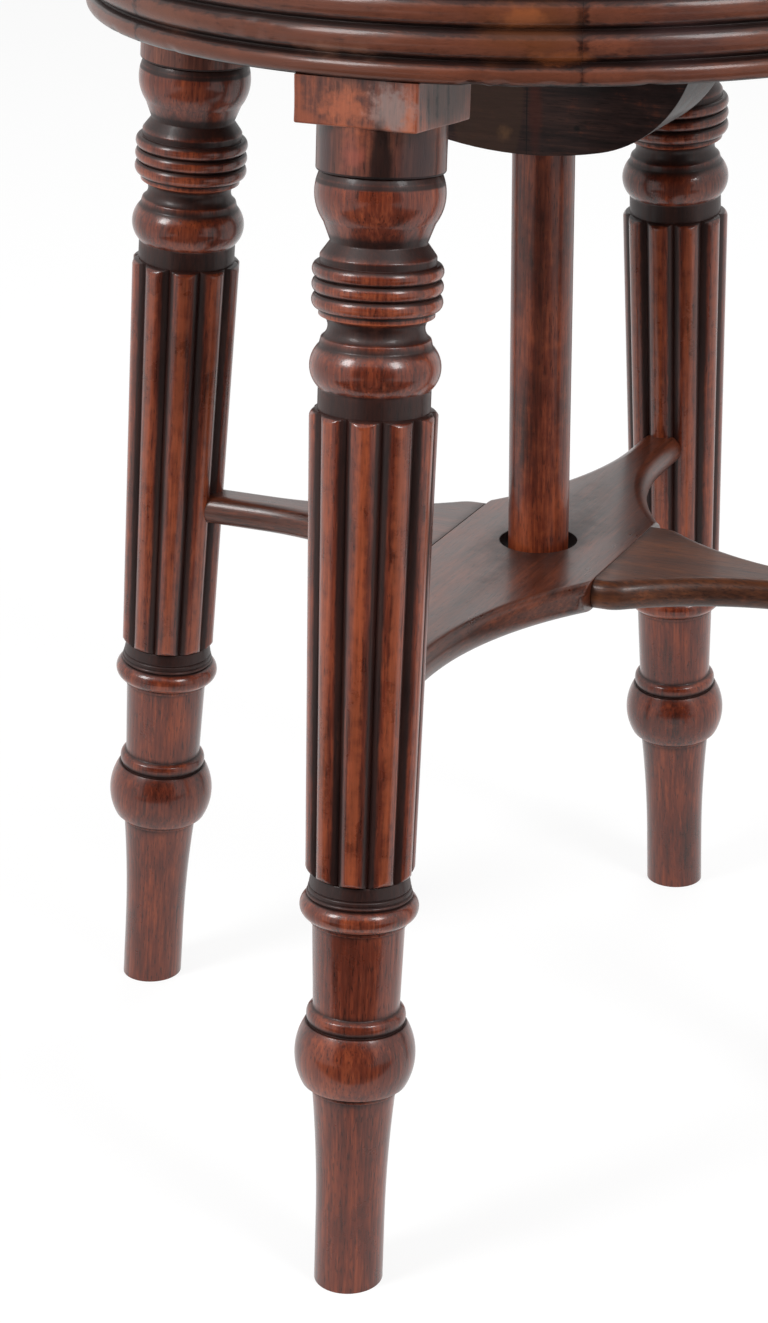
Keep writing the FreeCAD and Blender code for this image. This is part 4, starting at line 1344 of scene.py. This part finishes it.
@dataclass
class Stretcher:
    """The X-shaped stretcher: a long board, and an arm glued to each of its sides."""

    half_width: float = 35.5
    arm_half: float = 9.0
    hole: float = 15.15
    curve: float = 140.0
    curve_end: float = 125.0
    shoulder: float = 144.5
    nose: float = 5.5
    root_half: float = 36.0
    root_round: float = 14.0
    side_curve: float = 115.0
    side_end: float = 119.0

    def arc(self, centre: Point, radius: float, start: float, end: float,
            steps: int) -> list[Point]:
        """List points along an arc in plan.

        Args:
            centre: its centre.
            radius: its radius.
            start: angle of its first point, in radians.
            end: angle of its last point.
            steps: how many chords draw it.

        Returns:
            The points.
        """
        return [(centre[0] + radius * math.cos(start + (end - start) * n / steps),
                 centre[1] + radius * math.sin(start + (end - start) * n / steps))
                for n in range(steps + 1)]

    def board_half(self) -> list[Point]:
        """Draw the board's half at +X, with half of the post's hole.

        Returns:
            The points of the outline.
        """
        centre = (self.arm_half + self.curve, self.curve_end)
        reach = (centre[0] - self.half_width) / self.curve
        start = math.pi + math.acos(reach)
        upper = [(0.0, self.hole), (0.0, self.shoulder), (self.arm_half, self.shoulder)]
        upper += self.arc(centre, self.curve, math.pi, start, 28)
        lower = [(x, -y) for x, y in reversed(upper)]
        hole = self.arc((0, 0), self.hole, -math.pi / 2, math.pi / 2, 32)
        return upper + lower + hole[1:-1]

    def arm_outline(self) -> list[Point]:
        """Draw the right arm's outline in plan.

        Returns:
            The points of the outline.
        """
        far = (self.side_end, self.arm_half + self.side_curve)
        near_y = self.root_half - self.root_round
        run = math.sqrt((self.side_curve + self.root_round) ** 2 - (far[1] - near_y) ** 2)
        near = (self.side_end - run, near_y)
        slope = math.atan2(far[1] - near[1], far[0] - near[0])
        upper = [(self.half_width + FIT, self.root_half)]
        upper += self.arc(near, self.root_round, math.pi / 2, slope, 14)
        upper += self.arc(far, self.side_curve, math.pi + slope, 1.5 * math.pi, 26)
        upper += [(self.shoulder, self.arm_half)]
        return upper + [(x, -y) for x, y in reversed(upper)]

    def nosed(self, work: Workpiece, keep: Callable[[Vector], bool]) -> Workpiece:
        """Round the long edges to a full nose.

        Args:
            work: the plank.
            keep: says by an edge's middle which ones stay square.

        Returns:
            The same workpiece.
        """
        def square(edge: bmesh.types.BMEdge) -> bool:
            """Say whether an edge stands upright or is one of those kept."""
            first, second = (vert.co for vert in edge.verts)
            return abs(first.z - second.z) > 1 or keep((first + second) / 2)

        return work.eased(self.nose, 6, 30.0, square)

    def board(self, material: bpy.types.Material) -> None:
        """Make the long board with the post's hole.

        Args:
            material: its finish.
        """
        work = Workpiece()
        verts = [work.bm.verts.new((x, y, LEVELS.stretcher_bottom)) for x, y in self.board_half()]
        half = work.bm.faces.new(verts)
        bmesh.ops.mirror(work.bm, geom=verts + [half], axis="X", merge_dist=1e-3,
                         matrix=Matrix.Identity(4))
        bmesh.ops.remove_doubles(work.bm, verts=work.bm.verts[:], dist=1e-3)
        bmesh.ops.recalc_face_normals(work.bm, faces=work.bm.faces[:])
        work.raised(work.bm.faces[:], LEVELS.stretcher_top - LEVELS.stretcher_bottom)
        limit = self.half_width - FIT
        self.nosed(work, lambda p: (abs(p.x) > limit or abs(p.y) > self.shoulder - 1
                                    or p.to_2d().length < self.hole + 1))
        work.eased(0.5, 2, 50.0)
        work.marked(Grain.DEEP, 53, lambda p: -1.2 * max(0.0, 1 - abs(p.to_2d().length - self.hole)))
        work.finish("long_board", "frame", "mahogany", material, ["stretcher_board"], 40.0)

    def arm(self, name: str, turn: float, seed: int, material: bpy.types.Material) -> None:
        """Make one side arm.

        Args:
            name: the side it is on.
            turn: its bearing from the right, in degrees.
            seed: which part of the tree it is cut from.
            material: its finish.
        """
        work = Workpiece().plank(self.arm_outline(), LEVELS.stretcher_bottom, LEVELS.stretcher_top)
        self.nosed(work, lambda p: p.x < self.half_width + 1 or p.x > self.shoulder - 1)
        work.eased(0.35, 2, 50.0)
        work.marked(Grain.ACROSS, seed, lambda p: -1.0 * max(0.0, 1 - (p.x - self.half_width) / 1.2))
        work.moved(bearing(turn))
        work.finish("side_arm_" + name, "frame", "mahogany", material,
                    ["stretcher_arm_" + name], 40.0)

    def build(self, board: bpy.types.Material, right: bpy.types.Material) -> None:
        """Make all three pieces.

        Args:
            board: finish of the long board and the left arm.
            right: finish of the right arm.
        """
        self.board(board)
        self.arm("right", 0.0, 59, right)
        self.arm("left", 180.0, 61, board)


@dataclass
class SeatScrew:
    """The wooden screw: a plain post below and a rounded thread above."""

    radius: float = 15.0
    root: float = 12.3
    pitch: float = 8.0
    post: float = 11.8
    bottom: float = 203.0
    thread_start: float = 434.4
    worn: float = 13.9
    steps: int = 48

    def build(self, material: bpy.types.Material) -> bpy.types.Object:
        """Turn the post, cut the thread and close its ends.

        Args:
            material: its finish.

        Returns:
            The screw.
        """
        top = LEVELS.bearer_bottom - FIT
        outline = Outline(flat_step=24.0).line(0, self.bottom).line(self.post - 1.5, self.bottom)
        outline.line(self.post, self.bottom + 1.5).line(self.post, self.thread_start)
        outline.line(self.root, self.thread_start + 2).line(self.root, top).line(0, top)
        work = Workpiece().turn(outline.softened(0.4).points, 96)
        turns = (top - self.thread_start - self.pitch) / self.pitch
        inside = self.root - 1.0
        crest = self.radius - 0.2
        ridge = [(inside, 0.1), (self.root, 0.3), (crest - 0.5, 3.1), (crest, 3.7), (crest, 4.3),
                 (crest - 0.5, 4.9), (self.root, 7.7), (inside, 7.9)]
        ridge = [(across, self.thread_start + height) for across, height in ridge]
        work.spun(ridge, int(turns * self.steps), 360.0 * turns, closed=True,
                  climb=self.pitch / self.steps)
        work.closed()

        def relief(place: Vector) -> float:
            """Say how far a point stands out of the thread."""
            return place.to_2d().length - self.worn if place.z > self.thread_start else 0.25

        work.marked(Grain.UPRIGHT, 67, relief)
        return work.finish("wooden_screw", "seat", "mahogany", material, ["seat_post"])


@dataclass
class StopWasher:
    """The loose leather washer under the bearer."""

    inner: float = 15.3
    width: float = 15.0
    bottom: float = 516.335
    thickness: float = 3.0

    def build(self, material: bpy.types.Material) -> bpy.types.Object:
        """Make the ring with rubbed edges.

        Args:
            material: its finish.

        Returns:
            The washer.
        """
        outer = self.inner + self.width
        top = self.bottom + self.thickness
        outline = Outline([(self.inner, self.bottom), (outer, self.bottom), (outer, top),
                           (self.inner, top)])
        section = outline.softened(1.0, closed=True).points
        work = Workpiece().turn(section + section[:1], 96)
        work.marked(Grain.UPRIGHT, 71)
        return work.finish("leather_washer", "lift", "washer_leather", material, ["stop_washer"])


@dataclass
class SeatBearer:
    """The stout bar that carries the seat board on the screw."""

    length: float = 200.0
    width: float = 64.0
    chamfer: float = 6.0

    def build(self, material: bpy.types.Material, steel: bpy.types.Material) -> None:
        """Make the bar and dress its screws.

        Args:
            material: the bar's finish.
            steel: finish of its screws.
        """
        work = Workpiece()
        work.block((-self.length / 2, -self.width / 2, LEVELS.bearer_bottom),
                   (self.length / 2, self.width / 2, LEVELS.board_bottom - FIT))
        low_ends = [edge for edge in work.bm.edges
                    if all(v.co.z < LEVELS.bearer_bottom + 1 for v in edge.verts)
                    and abs(edge.verts[0].co.x - edge.verts[1].co.x) < 1]
        work.bevelled(low_ends, self.chamfer, 1).eased(0.8, 2)
        work.marked(Grain.ACROSS, 73)
        work.finish("seat_bar", "seat", "rail_wood", material, ["seat_bearer"])
        dress_node("bearer_screws", steel)


def dress_node(node: str, material: bpy.types.Material) -> None:
    """Give a solid that stays its finish.

    Args:
        node: the solid's name.
        material: its finish.
    """
    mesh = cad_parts[node].data
    mesh.materials.clear()
    mesh.materials.append(material)
    log.info("%s keeps its own mesh", node)


@dataclass
class Seat:
    """The round stuffed seat: its board, leather, braid and nails."""

    board_radius: float = 166.0
    waist: float = 167.7
    bulge: float = 5.0
    side: float = 22.0
    height: float = 42.0
    shoulder: float = 9.0
    shrink: float = 3.0
    sectors: int = 30
    nails: int = 60
    nail_radius: float = 4.8
    nail_height: float = 2.6
    gimp_height: float = 11.0
    cord: float = 0.9
    pucker: float = 0.55
    pucker_reach: float = 16.0
    wander: float = 0.9

    def board(self, material: bpy.types.Material) -> None:
        """Turn the round board.

        Args:
            material: its finish.
        """
        low, high = LEVELS.board_bottom, LEVELS.pad_bottom
        outline = Outline(flat_step=30.0).line(0, low).line(self.board_radius, low)
        outline.line(self.board_radius, high).line(0, high)
        work = Workpiece().turn(outline.softened(1.2).points, 128)
        work.marked(Grain.ACROSS, 79)
        work.finish("round_board", "seat", "board_wood", material, ["seat_board"])

    def cover(self, material: bpy.types.Material) -> None:
        """Stuff the seat and draw the leather down to the braid.

        Args:
            material: its finish.
        """
        low = LEVELS.board_bottom + 1.6
        base = LEVELS.pad_bottom
        waist = self.waist
        side_top = base + self.side
        crown = self.height - self.side + 2.1 - self.shrink
        ball = ((waist - self.shoulder) ** 2 + crown ** 2) / (2 * crown)
        outline = Outline(flat_step=6.0).line(0, low).line(waist, low).line(waist, base)
        outline.arc((waist + self.bulge - 2.0, base + 0.55 * self.side),
                    (waist - self.shoulder, side_top), 12)
        half = math.asin((waist - self.shoulder) / ball)
        steps = 24
        for number in range(1, steps + 1):
            angle = half * (1 - number / steps)
            outline.points.append((ball * math.sin(angle),
                                   side_top + crown - ball * (1 - math.cos(angle))))
        work = Workpiece().turn(outline.softened(2.5).points, 192)
        work.moved(Matrix.Scale(MM, 4))
        piece = placed("stuffed_seat", work.mesh("stuffed_seat"))
        swell(piece, voxel=5.0, pressure=4.0, cap=4.0, fixed_below=base + 3.0)
        self.tuck(piece, low)
        fit_piece(piece, "seat", material, ["seat_cover", "seat_pad"], 60.0)

    def tuck(self, piece: bpy.types.Object, low: float) -> None:
        """Pucker the leather over the nails and hollow it under the board.

        Args:
            piece: the stuffed form.
            low: height of the leather's lower edge.
        """
        work = bmesh.new()
        work.from_mesh(piece.data)
        stands = work.verts.layers.float.get("relief") or work.verts.layers.float.new("relief")
        top = LEVELS.pad_bottom
        highest = max(vert.co.z for vert in work.verts) / MM
        for vert in work.verts:
            x, y, z = vert.co / MM
            reach = math.hypot(x, y)
            angle = math.atan2(y, x)
            if z < low + 0.8 and reach < self.board_radius - 3:
                vert.co.z = (top - 0.3) * MM
                continue
            near = max(0.0, 1 - abs(z - top) / self.pucker_reach)
            if reach <= self.board_radius - 20:
                near = 0.0
            stray = 0.8 * noise.noise(Vector((3 * x, 3 * y, 0)) * 0.01)
            crest = self.pucker * near ** 1.5 * math.cos(self.nails * angle + stray)
            bump = self.wander * noise.noise(Vector((x, y, z)) * 0.022)
            push = crest + bump * min(1.0, max(0.0, (z - top) / 12))
            outward = Vector((x, y, 0)).normalized() if reach > 1 else Vector((0, 0, 1))
            lift = max(0.0, min(1.0, (z - top - 14) / 12))
            direction = outward.lerp(Vector((0, 0, 1)), lift).normalized()
            vert.co += direction * push * MM
            rubbed = max(0.0, (z - top - 20) / max(highest - top - 20, 1))
            # Painted shade: the relief drops in the pucker hollows and near the nails; it rises on top,
            # where the polish is worn.
            vert[stands] = crest + 0.8 * rubbed - 0.4 * near
        bmesh.ops.recalc_face_normals(work, faces=work.faces[:])
        work.to_mesh(piece.data)
        work.free()

    def braid(self, material: bpy.types.Material) -> None:
        """Weave the narrow braid: a band, two edge cords and two waving cords.

        Args:
            material: its finish.
        """
        middle = (LEVELS.board_bottom + LEVELS.pad_bottom) / 2
        inner = self.waist + 0.1
        half = self.gimp_height / 2
        waves = 3 * self.sectors
        turn = 360.0 / self.sectors
        short = Workpiece()
        band = [(inner, middle - half), (inner + 0.7, middle - half), (inner + 0.7, middle + half),
                (inner, middle + half)]
        short.spun(band, 12, turn, closed=True)
        cord = self.cord
        cords = [(-half + cord, 0.0, 0.0), (half - cord, 0.0, 0.0),
                 (0.0, half - 2.2, 0.0), (0.0, half - 2.2, math.pi)]
        for height, sway, phase in cords:
            section = [(inner + cord + cord * math.cos(a), middle + height + cord * math.sin(a))
                       for a in (math.tau * n / 8 for n in range(8))]
            for vert in short.spun(section, 48, turn, closed=True):
                angle = math.atan2(vert.co.y, vert.co.x)
                vert.co.z += sway * math.sin(waves * angle + phase)
                if sway:
                    lift = 0.35 * math.cos(waves * angle + phase)
                    vert.co.x += lift * math.cos(angle)
                    vert.co.y += lift * math.sin(angle)
        turns = [bearing(turn * number) for number in range(self.sectors)]
        work = Workpiece().copies(short.mesh("short_braid"), turns).closed()
        places = work.bm.verts.layers.float_vector.new("grain")
        for vert in work.bm.verts:
            angle = math.atan2(vert.co.y, vert.co.x)
            vert[places] = Vector((angle * self.waist * MM, 0, vert.co.z * MM))
        work.finish("woven_braid", "seat", "gimp", material, ["gimp_band"], 70.0)

    def nail_heads(self, material: bpy.types.Material) -> None:
        """Drive the domed nails side by side through the braid.

        Args:
            material: its finish.
        """
        seat = self.waist + 1.2
        middle = (LEVELS.board_bottom + LEVELS.pad_bottom) / 2
        ball = (self.nail_radius ** 2 + self.nail_height ** 2) / (2 * self.nail_height)
        half = math.asin(self.nail_radius / ball)
        section = [(0, -1.0), (self.nail_radius * 0.9, -1.0), (self.nail_radius, 0.0)]
        angles = [half * (1 - step / 7) for step in range(1, 8)]
        section += [(ball * math.sin(angle), self.nail_height - ball * (1 - math.cos(angle)))
                    for angle in angles]
        one = Workpiece().turn(section, 20)
        one.moved(Matrix.Translation((0, -seat, middle)) @ Matrix.Rotation(math.pi / 2, 4, "X"))
        rng = random.Random(5)
        moves = []
        for number in range(self.nails):
            drift = Matrix.Translation((0, rng.uniform(-0.15, 0.2), rng.uniform(-0.25, 0.25)))
            step = bearing(360.0 * number / self.nails + rng.uniform(-0.12, 0.12))
            moves.append(step @ drift)
        whole = Workpiece().copies(one.mesh("one_nail"), moves)
        whole.finish("domed_nails", "seat", "brass", material, ["seat_nails"], 50.0)


def swell(piece: bpy.types.Object, voxel: float, pressure: float, cap: float,
          fixed_below: float, frames: int = 20, ease_over: float = 10.0,
          smoothing: int = 4) -> None:
    """Blow a stuffed form up with a cloth simulation and keep the result.

    Args:
        piece: the form, a little smaller than it should be.
        voxel: size of the cloth's faces, in millimetres.
        pressure: how hard it is stuffed.
        cap: how far a point may move, in millimetres.
        fixed_below: points under this height stay where they are, in millimetres.
        frames: how long the cloth is left to settle.
        ease_over: height over which the movement sets in, in millimetres.
        smoothing: how many times the result is smoothed.
    """
    remesh = piece.modifiers.new("remesh", "REMESH")
    remesh.mode = "VOXEL"
    remesh.voxel_size = voxel * MM
    bake_modifiers(piece)
    start = np.array([vert.co for vert in piece.data.vertices])
    group = piece.vertex_groups.new(name="held")
    held = [n for n, co in enumerate(start) if co[2] < fixed_below * MM]
    group.add(held, 1.0, "REPLACE")
    cloth = piece.modifiers.new("cloth", "CLOTH")
    for name, setting in {"quality": 5, "mass": 0.4, "use_pressure": True,
                          "uniform_pressure_force": pressure,
                          "vertex_group_mass": group.name}.items():
        setattr(cloth.settings, name, setting)
    cloth.settings.effector_weights.gravity = 0
    cloth.collision_settings.use_collision = False
    scene = bpy.context.scene
    for number in range(1, frames + 1):
        scene.frame_set(number)
    bake_modifiers(piece)
    scene.frame_set(1)
    moved = np.array([vert.co for vert in piece.data.vertices])
    shift = moved - start
    far = np.maximum(np.linalg.norm(shift, axis=1, keepdims=True), 1e-9)
    ease = np.clip((start[:, 2:3] / MM - fixed_below) / ease_over, 0, 1)
    moved = start + shift * np.minimum(1.0, cap * MM / far) * ease
    piece.data.vertices.foreach_set("co", moved.ravel().astype(np.float32))
    soft = bmesh.new()
    soft.from_mesh(piece.data)
    upper = [vert for vert in soft.verts if vert.co.z > (fixed_below + 1) * MM]
    for _ in range(smoothing):
        bmesh.ops.smooth_vert(soft, verts=upper, factor=0.5, use_axis_x=True, use_axis_y=True,
                              use_axis_z=True)
    soft.to_mesh(piece.data)
    soft.free()
    finer = piece.modifiers.new("finer", "SUBSURF")
    finer.levels = 1
    finer.render_levels = 1
    bake_modifiers(piece)
    piece.vertex_groups.clear()


def bake_modifiers(piece: bpy.types.Object) -> None:
    """Replace a piece's mesh by what its modifiers make of it.

    Args:
        piece: the piece.
    """
    graph = bpy.context.evaluated_depsgraph_get()
    mesh = bpy.data.meshes.new_from_object(piece.evaluated_get(graph))
    piece.modifiers.clear()
    piece.data = mesh


# The studio


@dataclass
class Studio:
    """A pale floor, a white surround, soft lights and the camera."""

    camera_place: tuple[float, float, float] = (0.404, -1.027, 0.629)
    heading: float = 24.635
    tilt: float = 22.274
    roll: float = -0.385
    lens: float = 81.2
    surround: float = 0.42
    glow: float = 1.06
    glow_share: float = 0.8
    lamp_aim: tuple[float, float, float] = (0.0, 0.0, 0.3)
    flag_turn: float = 21.5

    def sheet(self, name: str, size: Point, place: Matrix,
              material: bpy.types.Material) -> bpy.types.Object:
        """Lay a flat sheet of the studio.

        Args:
            name: its name.
            size: its width and length in metres.
            place: the move that takes it from the floor's middle to its place.
            material: its finish.

        Returns:
            The sheet.
        """
        work = Workpiece()
        bmesh.ops.create_grid(work.bm, x_segments=1, y_segments=1, size=0.5)
        work.moved(place @ Matrix.Diagonal((*size, 1.0, 1.0)))
        sheet = placed(name, work.mesh(name))
        sheet.data.materials.append(material)
        return sheet

    def floor(self) -> None:
        """Lay the floor, which glows for what looks at it and keeps the stool's shadow."""
        shader = Shader("white_paper")
        paper = shader.node("ShaderNodeBsdfDiffuse", None, {"Color": (0.86, 0.86, 0.86, 1)})
        glow = shader.node("ShaderNodeEmission", None, {"Color": WHITE, "Strength": self.glow})
        material = shader.surface({0: shader.seen() * self.glow_share, 1: paper.outputs[0],
                                   2: glow.outputs[0]}, "ShaderNodeMixShader")
        self.sheet("studio_floor", (28.0, 28.0), Matrix.Identity(4), material)

    def world(self) -> None:
        """Surround the stool with white, which is dimmer as a light than it looks."""
        world = bpy.data.worlds.new("white_surround")
        bpy.context.scene.world = world
        shader = Shader(world.name, world)
        strength = shader.seen() * (1 - self.surround) + self.surround
        sky = shader.node("ShaderNodeBackground", None, {"Color": WHITE, "Strength": strength})
        shader.node("ShaderNodeOutputWorld", None, {"Surface": sky.outputs[0]})

    def flag(self, name: str, size: Point, place: Matrix) -> None:
        """Stand a black sheet that only reflections see.

        Args:
            name: its name.
            size: its width and height in metres.
            place: where it lies, from a sheet on the floor at the middle.
        """
        black = Shader(name).surface({"Color": (0.02, 0.018, 0.016, 1)}, "ShaderNodeBsdfDiffuse")
        sheet = self.sheet(name, size, place, black)
        for ray in ("camera", "diffuse", "shadow", "transmission"):
            setattr(sheet, "visible_" + ray, False)

    def light(self, name: str, azimuth: float, elevation: float, distance: float,
              size: Point, power: float) -> None:
        """Hang one softbox.

        Args:
            name: its name.
            azimuth: degrees from the front towards the right.
            elevation: degrees above the floor.
            distance: metres from the stool's middle.
            size: its width and height in metres.
            power: its power in watts.
        """
        lamp = bpy.data.lights.new(name, "AREA")
        lamp.shape = "RECTANGLE"
        lamp.size, lamp.size_y = size
        lamp.energy = power
        holder = bpy.data.objects.new(name, lamp)
        turn, rise = math.radians(azimuth), math.radians(elevation)
        away = Vector((math.sin(turn) * math.cos(rise), -math.cos(turn) * math.cos(rise),
                       math.sin(rise)))
        holder.location = Vector(self.lamp_aim) + away * distance
        holder.rotation_euler = away.to_track_quat("Z", "Y").to_euler()
        bpy.context.scene.collection.objects.link(holder)

    def camera(self) -> None:
        """Set the camera at the photo's viewpoint."""
        lens = bpy.data.cameras.new("viewpoint")
        lens.lens = self.lens
        lens.sensor_width = 36.0
        lens.sensor_fit = "AUTO"
        holder = bpy.data.objects.new("viewpoint", lens)
        heading, tilt = math.radians(self.heading), math.radians(self.tilt)
        ahead = Vector((-math.sin(heading) * math.cos(tilt), math.cos(heading) * math.cos(tilt),
                        -math.sin(tilt)))
        right = Vector((math.cos(heading), math.sin(heading), 0))
        up = right.cross(ahead)
        roll = math.radians(self.roll)
        across = math.cos(roll) * right + math.sin(roll) * up
        over = -math.sin(roll) * right + math.cos(roll) * up
        frame_matrix = Matrix((across, over, -ahead)).transposed().to_4x4()
        holder.matrix_world = Matrix.Translation(self.camera_place) @ frame_matrix
        bpy.context.scene.collection.objects.link(holder)
        bpy.context.scene.camera = holder

    def build(self) -> None:
        """Set the whole studio up."""
        self.camera()
        self.floor()
        self.world()
        aim = bearing(self.flag_turn)
        self.flag("floor_flag", (1.5, 2.5), aim @ Matrix.Translation((0, -1.55, 0.001)))
        upright = Matrix.Rotation(math.radians(90), 4, "X")
        self.flag("front_flag", (4.4, 2.6), aim @ Matrix.Translation((0, -2.9, 1.3)) @ upright)
        self.light("left_softbox", -34.0, 40.0, 2.2, (0.55, 0.8), 27.0)
        self.light("right_softbox", 66.0, 40.0, 2.2, (0.55, 0.8), 22.0)
        self.light("back_softbox", 190.0, 50.0, 2.4, (1.4, 1.0), 14.0)
        bpy.context.scene.view_settings.view_transform = "Standard"


def main() -> None:
    """Build every sub-assembly in order."""
    logging.basicConfig(level=logging.INFO, format="%(name)s: %(message)s")
    # Without a seed, Blender's vector noise starts from the clock.
    noise.seed_set(NOISE_SEED)
    Studio().build()
    made = {finish.name: finish.build() for finish in FINISHES}
    for name, turn in (("front", -3.0), ("right", 10.0), ("back", 17.0), ("left", 26.0)):
        Leg(name, turn).build(made["polished_turning"])
        LegHead(name).build(made["dry_block_with_painted_reflections"])
    Rim().build(made["polished_rim"])
    Rails().build(made["dull_belly"], made["dull_rail"])
    Stretcher().build(made["polished_board"], made["polished_arm"])
    SeatScrew().build(made["rubbed_post"])
    StopWasher().build(made["washer_hide"])
    SeatBearer().build(made["dull_rail"], made["old_steel"])
    seat = Seat()
    seat.board(made["bare_board"])
    seat.cover(made["seat_hide"])
    seat.braid(made["red_braid"])
    seat.nail_heads(made["old_brass"])
    for node in ("rim_dowels", "stretcher_dowels", "bearer_pin"):
        dress_node(node, made["bare_board"])


if __name__ == "__main__":
    main()
